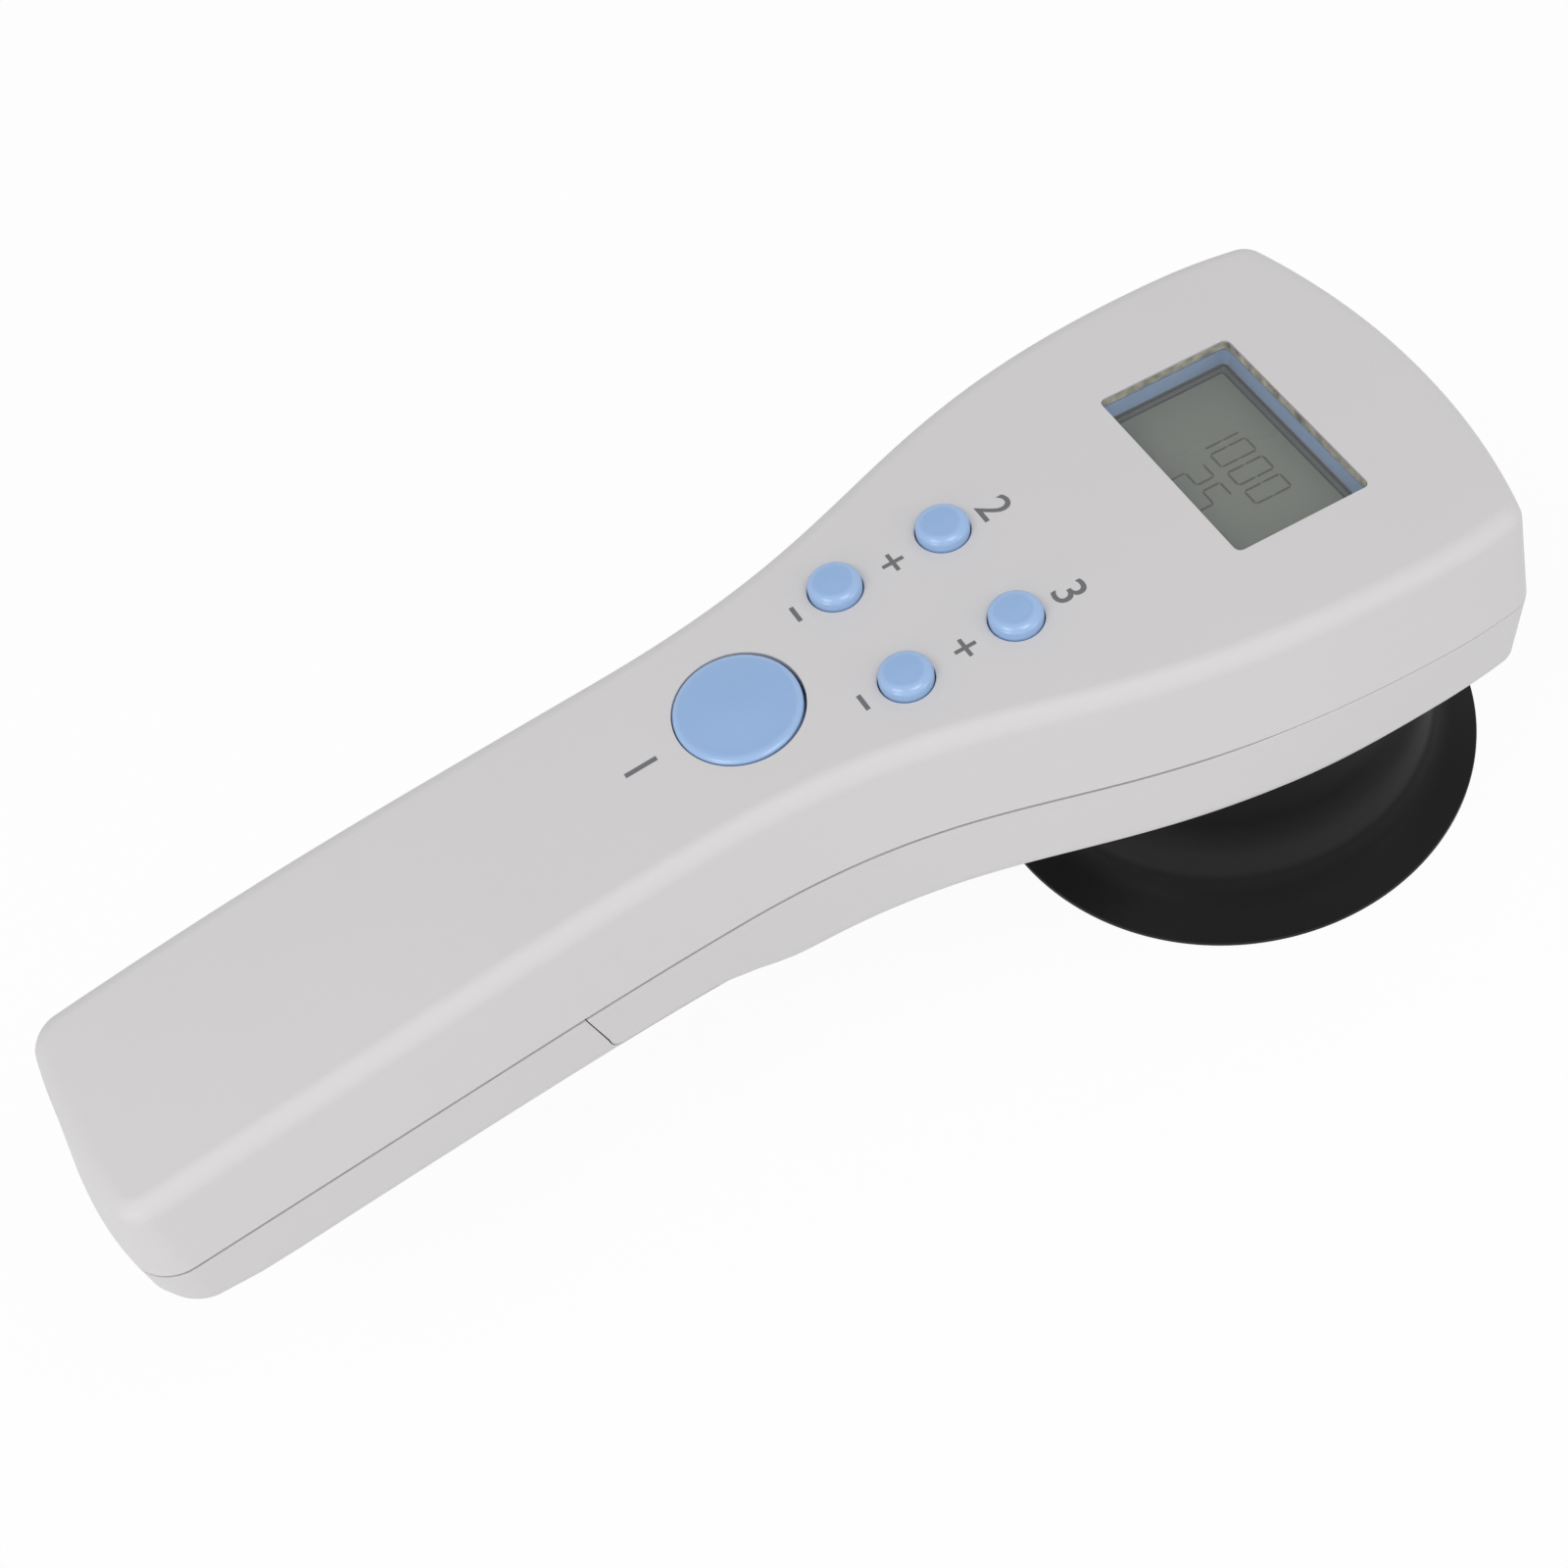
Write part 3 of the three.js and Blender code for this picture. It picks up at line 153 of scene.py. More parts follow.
# Keys: a form has the gap in its hole, the rise and dome of its top, the width and depth of its rounded
# edge, and its play, which is how far it rests from the middle of its hole
MEASURE_KEY_X = -4.0
MEASURE_HOLE_RADIUS = 7.57
PAIR_REAR_X = 13.0
PAIR_FRONT_X = 27.2
PAIR_HALF_SPACING = 7.65
PAIR_HOLE_RADIUS = 3.22
MEASURE_FORM = {"gap": 0.25, "rise": 0.35, "dome": 0.35, "edge_width": 1.2, "edge_depth": 0.5, "play": 0.12}
PAIR_FORM = {"gap": 0.12, "rise": 1.65, "dome": 0.1, "edge_width": 1.3, "edge_depth": 0.85, "play": 0.0}
KEYS = (
    ("measure", MEASURE_KEY_X, 0.0, MEASURE_HOLE_RADIUS, MEASURE_FORM),
    ("frequency_down", PAIR_REAR_X, PAIR_HALF_SPACING, PAIR_HOLE_RADIUS, PAIR_FORM),
    ("frequency_up", PAIR_FRONT_X, PAIR_HALF_SPACING, PAIR_HOLE_RADIUS, PAIR_FORM),
    ("level_down", PAIR_REAR_X, -PAIR_HALF_SPACING, PAIR_HOLE_RADIUS, PAIR_FORM),
    ("level_up", PAIR_FRONT_X, -PAIR_HALF_SPACING, PAIR_HOLE_RADIUS, PAIR_FORM),
)
KEY_FLANGE = 1.05
KEY_FLANGE_THICKNESS = 1.0
KEY_SKIN = 1.2
HOLE_EDGE = 0.15
GUIDE_HEIGHT = 0.5

# Screw places
NECK_BOSS = (20.2, 13.0)
HEAD_BOSS = (78.4, 19.0)
SCREW_PLACES = [(x, side * y) for x, y in (NECK_BOSS, HEAD_BOSS) for side in (1, -1)]
LOWER_BOSS_RADIUS = 3.6
COUNTERBORE_RADIUS = 2.6
COUNTERBORE_DEPTH = 4.0
COUNTERBORE_EDGE = 0.25
SCREW_BORE = 1.4

# Earphone
EAR_X = 57.2
HOUSING_RADIUS = 20.4
HOUSING_BOTTOM_Z = 9.4
HOUSING_HEIGHT = 14.3
HOUSING_WALL = 1.9
COLLAR_OVERHANG = 1.1
COLLAR_RISE = 0.6
COLLAR_WALL = 2.2
PAD_THICKNESS = 2.5
GRILLE_THICKNESS = 1.3
GRILLE_HOLE_RADIUS = 1.2
GRILLE_RINGS = 2
GRILLE_RING_STEP = 4.6
GRILLE_HOLES_PER_RING = 6
RIM_RADIUS = 32.0
RIM_FACE = 1.9
RIM_THICKNESS = 0.9
RIM_ROUND_SHARE = 0.4
CREASE_RADIUS = 26.4
CREASE_Z = 4.5
SHOULDER_BULGE = 1.1
SHOULDER_TOP_Z = 15.5
CUSHION_WALL = 2.3
CUSHION_TOP_Z = 21.0
SOFT_REACH = 3.2
SOFT_SHARE = 0.27
BOWL_RADIUS = 24.6
BOWL_Z = 2.6
THROAT_RADIUS = 15.5
THROAT_Z = 6.4

# Display's marks: a reading has the place of its first digit, and a line its inset from the frame's
# opening and its stroke
SEGMENT_HEIGHT = 0.03
DIGIT_LENGTH = 4.9
DIGIT_WIDTH = 2.3
DIGIT_STROKE = 0.28
DIGIT_PITCH = 3.4
DIGIT_GAP = 0.08
READINGS = (("1000", 1.6, 5.1), ("25", -4.8, 1.0))
# The first line, at the frame's opening, is painted shadow under the frame's edge; the second is the
# display's own seal
SEAL_AND_PAINTED_SHADOW_LINES = ((0.0, 0.3), (0.85, 0.26))
BORDER_LINES = ((0.3, 0.55),)
SEGMENT_ENDS = {
    "a": ((1, 1), (1, -1)), "b": ((1, -1), (0, -1)), "c": ((0, -1), (-1, -1)),
    "d": ((-1, -1), (-1, 1)), "e": ((-1, 1), (0, 1)), "f": ((0, 1), (1, 1)), "g": ((0, 1), (0, -1)),
}
SEGMENTS_BY_DIGIT = {"0": "abcdef", "1": "bc", "2": "abged", "5": "afgcd"}

# Printed marks
MARK_RISE = 0.02
MINUS_HALF = 1.15
MINUS_STROKE = 0.55
PLUS_HALF = 1.35
PLUS_STROKE = 0.5
NUMBER_SIZE = 5.8
NUMBER_BOLDNESS = 0.02
MINUS_PLACES = ((7.59, 7.25), (7.52, -7.59))
PLUS_PLACES = ((20.21, 7.06), (20.46, -7.85))
NUMBER_PLACES = (("1", -16.81, -0.23), ("2", 33.51, 7.09), ("3", 33.76, -8.01))

# Places worked out from these sizes: the casing stands on the earphone
MIDDLE_X = (HANDLE_END_X - DRAFT - SEAM_BOW + EAR_X + RIM_RADIUS) / 2
COLLAR_RADIUS = HOUSING_RADIUS + COLLAR_OVERHANG
COLLAR_Z = HOUSING_BOTTOM_Z + HOUSING_HEIGHT + SEAT_GAP
CUSHION_NECK_RADIUS = HOUSING_RADIUS + SEAT_GAP + CUSHION_WALL
FACE_DROP = FACE_RADIUS - math.sqrt(FACE_RADIUS**2 - (EAR_X + COLLAR_RADIUS - FACE_CROWN_X) ** 2)
FACE_CROWN = (FACE_CROWN_X, COLLAR_Z + COLLAR_RISE + HEAD_DEPTH + FACE_DROP, FACE_RADIUS)
SEAM_CROWN = (SEAM_CROWN_X, FACE_CROWN[1] - SEAM_DEPTH, SEAM_RADIUS)
HANDLE_FLOOR_CROWN = (HANDLE_FLOOR_CROWN_X, FACE_CROWN[1] - HANDLE_DEPTH, HANDLE_FLOOR_RADIUS)
FRAME_TOP = -WINDOW_WALL - SEAT_GAP
FRAME_LOW = FRAME_TOP - FRAME_DEPTH
LCD_TOP = FRAME_LOW - SEAT_GAP
LCD_LOW = LCD_TOP - LCD_THICKNESS

# Facet counts, and the angles of widened mouths and of sharp edges
BOW_STEPS = 8
CORNER_STEPS = 10
HANDLE_STEPS = 20
NECK_STEPS = 44
SHOULDER_STEPS = 8
END_STEPS = 16
FILLET_STEPS = 8
WALL_STEPS = 3
ROUND_STEPS = 6
HOLE_SIDES = 96
SMALL_SIDES = 40
CUSHION_SIDES = 192
KEY_STEPS = 16
INNER_STEPS = 2
MOUTH_TURN = math.radians(70)
SHARP_ANGLE = math.radians(32)
EDGE_ANGLE = math.radians(45)
TINY = 0.001

# Colours are screen values from 0 to 255, turned to linear ones by the screen's curve
SCREEN_WHITE = 255
TOE_END_SHARE = 0.04045
TOE_SLOPE = 12.92
CURVE_OFFSET = 0.055
CURVE_POWER = 2.4

# Finishes: name, lighter colour, the share of it that the darker tone has, roughness and its spread,
# grains per metre, a grain's height in metres, and the specular level and cloud scale that aren't plain
PLAIN_SPECULAR = 0.5
CLOUD_SCALE = 18.0
CLOUD_DETAIL = 3.0
CLOUD_SHARES = (0.3, 0.7)
GRAIN_DETAIL = 2.0
FINISHES = {
    "casing": ("casing_plastic", (208, 206, 207), 0.992, 0.5, 0.04, 4500.0, 3e-6),
    "key": ("key_plastic", (150, 182, 224), 0.985, 0.22, 0.02, 4500.0, 1e-6, 0.8),
    "bezel": ("blue_bezel", (157, 186, 226), 0.9, 0.3, 0.04, 2500.0, 2e-6),
    "lcd": ("display_surface", (109, 113, 104), 0.97, 0.28, 0.04, 900.0, 1e-6, 0.2),
    "border": ("display_border", (88, 91, 82), 0.9, 0.3, 0.04, 900.0, 1e-6, 0.2),
    "digits": ("display_ink", (74, 65, 58), 0.95, 0.4, 0.04, 900.0, 1e-6, 0.2),
    # Dark seal colour, also used for the painted shadow at the frame's opening
    "seal": ("display_seal_and_shadow", (46, 47, 52), 0.9, 0.4, 0.04, 900.0, 1e-6, 0.2),
    "ink": ("printed_ink", (108, 108, 112), 0.95, 0.55, 0.05, 5000.0, 2e-6),
    "rubber": ("cushion_rubber", (18, 18, 19), 0.92, 0.46, 0.05, 3500.0, 5e-6, 0.1),
    "dark": ("dark_plastic", (34, 34, 35), 0.92, 0.5, 0.05, 3500.0, 4e-6),
    "pale": ("pale_plastic", (226, 222, 212), 0.97, 0.45, 0.05, 3000.0, 3e-6),
    "board": ("solder_mask", (38, 98, 62), 0.9, 0.35, 0.05, 1500.0, 3e-6),
    "red": ("red_sleeve", (168, 48, 40), 0.94, 0.45, 0.05, 3000.0, 3e-6),
    "black": ("black_sleeve", (30, 30, 30), 0.92, 0.45, 0.05, 3000.0, 3e-6),
    "steel": ("screw_steel", (188, 190, 194), 0.94, 0.32, 0.06, 2500.0, 2e-6),
    "cell": ("cell_sleeve", (132, 138, 144), 0.94, 0.35, 0.06, 900.0, 2e-6),
    "rim": ("lens_edge", (205, 199, 180), 0.55, 0.3, 0.1, 1200.0, 2e-5, PLAIN_SPECULAR, 700.0),
}
METALS = ("steel", "cell")
CLEAR_COLOR = (235, 240, 242)
CLEAR_ALPHA = 0.05
CLEAR_ROUGHNESS = 0.055
CLEAR_SPREAD = 0.025
SMEAR_SCALE = 60.0

# Grey tone of the rubber at heights over the brim's plane, and the share of the clouds in it: painted sheen
# on the shoulder, painted shade at the neck
RUBBER_TOP_Z = 20.0
RUBBER_PAINTED_LIGHT_TONES = ((0.0, 17), (4.5, 18), (8.5, 34), (11.0, 35), (15.0, 9))
RUBBER_CLOUD_SHARE = 0.15

# Finishes of the carried-over nodes, by parts of their names
NAME_PARTS = {
    "pale": ("lcd_holder", "_socket"),
    "dark": ("lcd_strip", "_chip", "earphone_housing", "battery_tray", "_plunger", "_switch"),
    "board": ("main_board",),
    "steel": ("crystal", "driver_", "contact_", "_screw_"),
    "cell": ("battery_cell",),
    "red": ("_lead_a",),
    "black": ("_lead_b",),
}

# Camera: turns about X, Y and Z in degrees, and its place in the drawing frame
CAMERA_TURNS = (33.18455, 9.72061, -30.30075)
CAMERA_PLACE = (-51.965, -177.575, 311.482)
FOCAL_PIXELS = 2904.849
NEAREST_SEEN = 10.0

# Stage, in metres and watts: a lamp has a place, a size and a power
FLOOR_SIDE = 6.0
FLOOR_WHITE_SHARE = 0.94
FLOOR_TONE = 0.85
WORLD_STRENGTH = 0.7
LAMPS = (
    ("high_right_lamp", (0.2, -0.35, 0.78), 0.35, 1.2),
    ("high_left_lamp", (-0.45, -0.12, 0.78), 0.35, 1.2),
    ("low_left_lamp", (-0.7, -0.35, 0.2), 0.3, 0.95),
    ("low_right_lamp", (0.5, -0.6, 0.3), 0.3, 0.5),
)
FLAG_PLACE = (0.1, 0.46, 0.66)
FLAG_WIDTH = 0.66
FLAG_HEIGHT = 0.5
FLAG_TONE = 0.3


# Heights and outlines of the casing


def arc_height(x, crown):
    """Height of an arc whose crown is (x, height, radius)."""
    crown_x, crown_z, radius = crown
    return crown_z - radius + np.sqrt(radius**2 - (x - crown_x) ** 2)


def face_z(x):
    return arc_height(x, FACE_CROWN)


def seam_z(x):
    return arc_height(x, SEAM_CROWN)


def raised(surface, rise):
    """A surface moved up."""
    return lambda x: surface(x) + rise


def smooth_step(x, start, end):
    """0 up to the start, 1 from the end on, and a smooth rise between them."""
    share = np.clip((x - start) / (end - start), 0, 1)
    return share**2 * (3 - 2 * share)


def seam_gap(x):
    """The gap at the parting line, which all but closes at the head."""
    closing = smooth_step(x, SEAM_CLOSE_START_X, SEAM_CLOSE_END_X)
    return SEAM_GAP + (CLOSED_SEAM_GAP - SEAM_GAP) * closing


def floor_z(x, bow_back=0.0):
    """The underside: one arc under the handle, a smooth step, and the face's arc under the head.

    The handle's end is lifted by an arc; bow_back takes a bowed outline back to a straight end there.
    """
    blend = smooth_step(x, STEP_START_X, STEP_END_X)
    in_end = np.clip((HANDLE_END_X + END_LIFT_LENGTH - x - bow_back) / END_LIFT_LENGTH, 0, 1)
    lift = END_LIFT_HEIGHT * (1 - np.sqrt(1 - in_end**2))
    handle = arc_height(x, HANDLE_FLOOR_CROWN)
    return handle + (face_z(x) - HEAD_DEPTH - handle) * blend + lift


def face_angle(x):
    """How far the face leans towards the head's end."""
    return math.atan2(x - FACE_CROWN[0], FACE_CROWN[2])


def bezier(points, shares):
    """Places and unit normals on the left of a cubic curve."""
    a, b, c, d = (np.array(p) for p in points)
    t = shares[:, None]
    place = a * (1 - t) ** 3 + 3 * b * t * (1 - t) ** 2 + 3 * c * t**2 * (1 - t) + d * t**3
    along = 3 * ((b - a) * (1 - t) ** 2 + 2 * (c - b) * t * (1 - t) + (d - c) * t**2)
    along /= np.linalg.norm(along, axis=1)[:, None]
    return place, np.stack([-along[:, 1], along[:, 0]], axis=1)


def side_curves():
    """The three curves of a side, from the handle's end to the shoulder of the head."""
    start = (HANDLE_END_X + CORNER_RADIUS, HANDLE_END_HALF)
    handle_out = (start[0] + HANDLE_REACH, start[1] + HANDLE_REACH * HANDLE_END_SLOPE_SHARE)
    waist = (WAIST_X, WAIST_HALF)
    bulge = (BULGE_X, BULGE_HALF)
    shoulder = (SHOULDER_X, SHOULDER_HALF)
    shoulder_in = (SHOULDER_X - SHOULDER_REACH, SHOULDER_HALF - SHOULDER_REACH * SHOULDER_SLOPE_SHARE)
    return [
        ((start, handle_out, (WAIST_X - WAIST_REACH_REAR, WAIST_HALF), waist), HANDLE_STEPS),
        ((waist, (WAIST_X + WAIST_REACH_FRONT, WAIST_HALF), (BULGE_X - BULGE_REACH_REAR, BULGE_HALF), bulge),
         NECK_STEPS),
        ((bulge, (BULGE_X + BULGE_REACH_FRONT, BULGE_HALF), shoulder_in, shoulder), SHOULDER_STEPS),
    ]


def outline_anchors():
    """Anchors of the half outline as rows of x, y, outward direction and reach."""
    rows = [
        (HANDLE_END_X, (HANDLE_END_HALF - CORNER_RADIUS) * i / BOW_STEPS, -1.0, 0.0, 0.0)
        for i in range(BOW_STEPS)
    ]

    def corner(x, y, start, end, last):
        angles = np.linspace(start, end, CORNER_STEPS + 1)
        for angle in angles if last else angles[:-1]:
            rows.append((x, y, math.cos(angle), math.sin(angle), CORNER_RADIUS))

    corner(HANDLE_END_X + CORNER_RADIUS, HANDLE_END_HALF - CORNER_RADIUS, math.pi, math.pi / 2, False)
    for points, steps in side_curves():
        place, normal = bezier(points, np.arange(steps) / steps)
        rows.extend((x, y, nx, ny, 0.0) for (x, y), (nx, ny) in zip(place, normal))
    _, last_normal = bezier(points, np.array([1.0]))
    shoulder_angle = math.atan2(last_normal[0][1], last_normal[0][0])
    corner_x = SHOULDER_X - math.cos(shoulder_angle) * CORNER_RADIUS
    corner_y = SHOULDER_HALF - math.sin(shoulder_angle) * CORNER_RADIUS
    inset = corner_x - HEAD_END_X
    end_radius = (CORNER_RADIUS**2 - inset**2 - corner_y**2) / (2 * (inset + CORNER_RADIUS))
    end_angle = math.atan2(corner_y, inset + end_radius)
    corner(corner_x, corner_y, shoulder_angle, end_angle, True)
    for i in range(1, END_STEPS + 1):
        angle = end_angle * (1 - i / END_STEPS)
        rows.append((HEAD_END_X - end_radius, 0.0, math.cos(angle), math.sin(angle), end_radius))
    return np.array(rows)


def end_bow_shares(anchors):
    """The share of the end's bow at each anchor: 1 in the middle of the handle's end."""
    x, y, _, ny, reach = anchors.T
    in_end = x <= HANDLE_END_X + CORNER_RADIUS
    across = np.where(in_end, np.abs(y + ny * reach) / HANDLE_END_HALF, 1)
    return np.clip(1 - across**BOW_POWER, 0, None)


def closed_loop(half, mirrored_half):
    """A half from the middle line to the middle line, closed by its mirrored other half."""
    return np.concatenate([half, mirrored_half[1:-1][::-1]])


ANCHORS = outline_anchors()
BOW_SHARES = end_bow_shares(ANCHORS)
FLOOR_BOW_BACK = FLOOR_BOW * closed_loop(BOW_SHARES, BOW_SHARES)


def half_outline(offset, bow, tuck):
    """The half outline moved outwards, its handle's end bowed out and its head drawn in by a tuck."""
    x, y, nx, ny, reach = ANCHORS.T
    least = CORNER_RADIUS * LEAST_CORNER_SHARE
    moved = offset - tuck * smooth_step(x + nx * reach, TUCK_START_X, TUCK_END_X)
    length = np.where(reach > 0, np.maximum(reach + moved, least), moved)
    outline = np.stack([x + nx * length - bow * BOW_SHARES, y + ny * length], axis=1)
    outline[[0, -1], 1] = 0
    return outline


# Meshes


def linked(item):
    """Links an object to the scene."""
    bpy.context.scene.collection.objects.link(item)
    return item


def make_mesh(name, places, faces):
    """An object from places in millimetres, linked to the scene."""
    points = np.array(places, dtype=float)
    points[:, 0] -= MIDDLE_X
    mesh = bpy.data.meshes.new(name)
    mesh.from_pydata((points * MM).tolist(), [], faces)
    mesh.update()
    return linked(bpy.data.objects.new(name, mesh))


def ring_faces(count, around):
    """Faces between one ring and the next of a count of rings, each with the same places around."""
    faces = []
    for low in range(0, (count - 1) * around, around):
        for i in range(around):
            j = (i + 1) % around
            faces.append((low + i, low + j, low + around + j, low + around + i))
    return faces


def casing_body(name, rings):
    """A closed body through rings of (offset, bow, tuck, height function), from the bottom ring up."""
    half = len(ANCHORS)
    around = 2 * half - 2
    places = []
    for offset, bow, tuck, height in rings:
        outline = half_outline(offset, bow, tuck)
        loop = closed_loop(outline, outline * (1, -1))
        places.append(np.column_stack([loop, height(loop[:, 0])]))
    faces = ring_faces(len(rings), around)
    top = (len(rings) - 1) * around
    for i in range(half - 1):
        across = list(dict.fromkeys([i, (around - i) % around, around - i - 1, i + 1]))
        faces += [[top + place for place in across], across[::-1]]
    return make_mesh(name, np.concatenate(places), faces)


def ruled(low, high):
    """The rings between two others, on the straight wall from one to the other."""
    rings = []
    for share in np.linspace(0, 1, WALL_STEPS + 1)[1:-1]:
        offset, bow, tuck = (a + (b - a) * share for a, b in zip(low[:3], high[:3]))
        rings.append((offset, bow, tuck, lambda x, s=share: low[3](x) * (1 - s) + high[3](x) * s))
    return rings


def fillet_rings(radius, start, bow, surface, sign, steps):
    """Rings of a rounded edge, from its wall to the surface: sign is 1 at the face, -1 at the floor."""
    rings = []
    for angle in np.linspace(0, math.pi / 2, steps + 1):
        drop = sign * radius * (1 - math.sin(angle))
        offset = start - radius * (1 - math.cos(angle))
        rings.append((offset, bow, 0 if sign > 0 else HEAD_TUCK, raised(surface, -drop)))
    return rings


def seam_rings(*levels):
    """Rings as bowed as the seam, of (offset, height function)."""
    return [(offset, SEAM_BOW, 0, height) for offset, height in levels]


def seam_round(edge, sign):
    """The small rounding of a shell's outer edge at the seam: sign is 1 for the upper shell."""
    levels = []
    for angle in np.linspace(math.pi / 2, 0, ROUND_STEPS // 2 + 1):
        offset = DRAFT - SEAM_ROUND * (1 - math.cos(angle))
        levels.append((offset, raised(edge, sign * SEAM_ROUND * (1 - math.sin(angle)))))
    return seam_rings(*levels)


def upper_rings():
    """From the ceiling down the inside, round the seam with its rebate, and up to the face."""
    def edge(x):
        return seam_z(x) + seam_gap(x) / 2

    rebate_top = raised(seam_z, LIP_HEIGHT + LIP_CLEARANCE)
    rebate = DRAFT - WALL + LIP_THICKNESS + LIP_CLEARANCE
    ceiling = fillet_rings(INNER_FILLET, -WALL, FACE_BOW, raised(face_z, -WALL), 1, INNER_STEPS)
    face = fillet_rings(FACE_FILLET, 0, FACE_BOW, face_z, 1, FILLET_STEPS)
    outside = seam_round(edge, 1)
    return [
        *ceiling[::-1],
        *seam_rings((DRAFT - WALL, rebate_top), (rebate, rebate_top), (rebate, edge)),
        *outside,
        *ruled(outside[-1], face[0]),
        *face,
    ]


def lower_rings(with_lip):
    """From the floor up the outside, round the seam with or without its lip, and down the inside."""
    def edge(x):
        return seam_z(x) - seam_gap(x) / 2

    def floor_top(x):
        return floor_z(x, FLOOR_BOW_BACK)

    floor_inside = raised(floor_top, WALL)
    floor = fillet_rings(FLOOR_FILLET, FLOOR_DRAFT, FLOOR_BOW, floor_top, -1, FILLET_STEPS)[::-1]
    inner_offset = FLOOR_DRAFT - WALL
    inside = fillet_rings(FLOOR_FILLET - WALL, inner_offset, FLOOR_BOW, floor_inside, -1, INNER_STEPS)
    outside = seam_round(edge, -1)[::-1]
    lip_top = raised(seam_z, LIP_HEIGHT)
    lip_offset = DRAFT - WALL + LIP_THICKNESS
    lip = seam_rings((lip_offset, edge), (lip_offset, lip_top), (DRAFT - WALL, lip_top))
    return [
        *floor,
        *ruled(floor[-1], outside[0]),
        *outside,
        *(lip if with_lip else []),
        *seam_rings((DRAFT - WALL, edge)),
        *inside,
    ]


def rounded(points):
    """A polyline of (radius, height, fillet) with its corners turned into arcs."""
    line = []
    for i, (x, y, fillet) in enumerate(points):
        here = np.array((x, y), dtype=float)
        if fillet == 0 or i in (0, len(points) - 1):
            line.append(tuple(here))
            continue
        before, after = (np.array(points[j][:2]) - here for j in (i - 1, i + 1))
        before /= np.linalg.norm(before)
        after /= np.linalg.norm(after)
        half = math.acos(np.clip(before @ after, -1, 1)) / 2
        start, end = (here + way * fillet / math.tan(half) for way in (before, after))
        centre = here + (before + after) / np.linalg.norm(before + after) * fillet / math.sin(half)
        for share in np.linspace(0, 1, ROUND_STEPS + 1):
            turn = start * (1 - share) + end * share - centre
            line.append(tuple(centre + turn / np.linalg.norm(turn) * fillet))
    return line


def turned(profile, sides, closed=False):
    """Places and faces of a profile of (radius, height) turned round the upright axis."""
    places, faces, loops = [], [], []
    for radius, height in profile:
        if abs(radius) < TINY:
            places.append((0.0, 0.0, height))
            loops.append([len(places) - 1] * sides)
            continue
        first = len(places)
        for i in range(sides):
            angle = 2 * math.pi * i / sides
            places.append((radius * math.cos(angle), radius * math.sin(angle), height))
        loops.append(list(range(first, first + sides)))
    for low, high in zip(loops, loops[1:] + loops[:1] if closed else loops[1:]):
        for i in range(sides):
            j = (i + 1) % sides
            corners = list(dict.fromkeys([low[i], low[j], high[j], high[i]]))
            if len(corners) > 2:
                faces.append(corners)
    return np.array(places), faces


def leaned(places, angle, base=0.0):
    """Places leaned towards the head's end about the point at height base on the upright axis."""
    sine, cosine = math.sin(angle), math.cos(angle)
    x, y, z = places.T - np.array([[0], [0], [base]])
    return np.stack([x * cosine + z * sine, y, base - x * sine + z * cosine], axis=1)


def lathe(name, profile, x, y, sides, tilt=0.0, base=0.0, closed=False):
    """A turned body over (x, y), leaning by a tilt about the point at height base on its axis."""
    places, faces = turned(profile, sides, closed)
    return make_mesh(name, leaned(places, tilt, base) + (x, y, 0), faces)


def post(name, radius, low, high, x, y, sides=SMALL_SIDES):
    """A plain upright cylinder over (x, y)."""
    return lathe(name, [(0.0, low), (radius, low), (radius, high), (0.0, high)], x, y, sides)


def plate_loop(length, width, radius):
    """A rounded rectangle's points, anticlockwise."""
    points = []
    for side_x, side_y, start_share in [(1, -1, -0.5), (1, 1, 0.0), (-1, 1, 0.5), (-1, -1, 1.0)]:
        for share in np.linspace(0, 0.5, ROUND_STEPS + 1):
            angle = (start_share + share) * math.pi
            x = side_x * (length / 2 - radius) + radius * math.cos(angle)
            y = side_y * (width / 2 - radius) + radius * math.sin(angle)
            points.append((x, y))
    return points


def stacked(loops):
    """Places and faces of a closed body through loops that have as many places each."""
    around = len(loops[0])
    top = around * (len(loops) - 1)
    faces = ring_faces(len(loops), around)
    faces += [list(range(around))[::-1], list(range(top, top + around))]
    return [place for loop in loops for place in loop], faces


def face_stack(name, layers):
    """A closed body on the face at the window, through rounded rectangles of (length, width, radius,
    height over the face)."""
    loops = []
    for length, width, radius, height in layers:
        loops.append([(x, y, height) for x, y in plate_loop(length, width, radius)])
    places, faces = stacked(loops)
    return make_mesh(name, on_face(np.array(places)), faces)


def plate(name, length, width, low, high):
    """A flat plate at the window, between two heights over the face."""
    return face_stack(name, [(length, width, WINDOW_RADIUS, height) for height in (low, high)])


def on_face(places):
    """Turns places over the face's tangent at the window into the drawing frame."""
    return leaned(places, face_angle(WINDOW_X)) + (WINDOW_X, 0, face_z(WINDOW_X))


def prism(outline, low, high):
    """Places and faces of an outline of (x, y) points between two heights."""
    return stacked([[(x, y, z) for x, y in outline] for z in (low, high)])


def extruded(name, outline, low_y, high_y):
    """A side-view outline of (x, z) points extruded across the part."""
    places, faces = prism(outline, low_y, high_y)
    return make_mesh(name, [(x, y, z) for x, z, y in places], faces)


def block(name, low, high):
    """A box between its lowest and highest corners."""
    outline = [(low[0], low[2]), (high[0], low[2]), (high[0], high[2]), (low[0], high[2])]
    return extruded(name, outline, low[1], high[1])


def outward(piece):
    """Turns the faces of a closed mesh to the outside."""
    mesh = bmesh.new()
    mesh.from_mesh(piece.data)
    bmesh.ops.recalc_face_normals(mesh, faces=mesh.faces)
    mesh.to_mesh(piece.data)
    mesh.free()
    return piece


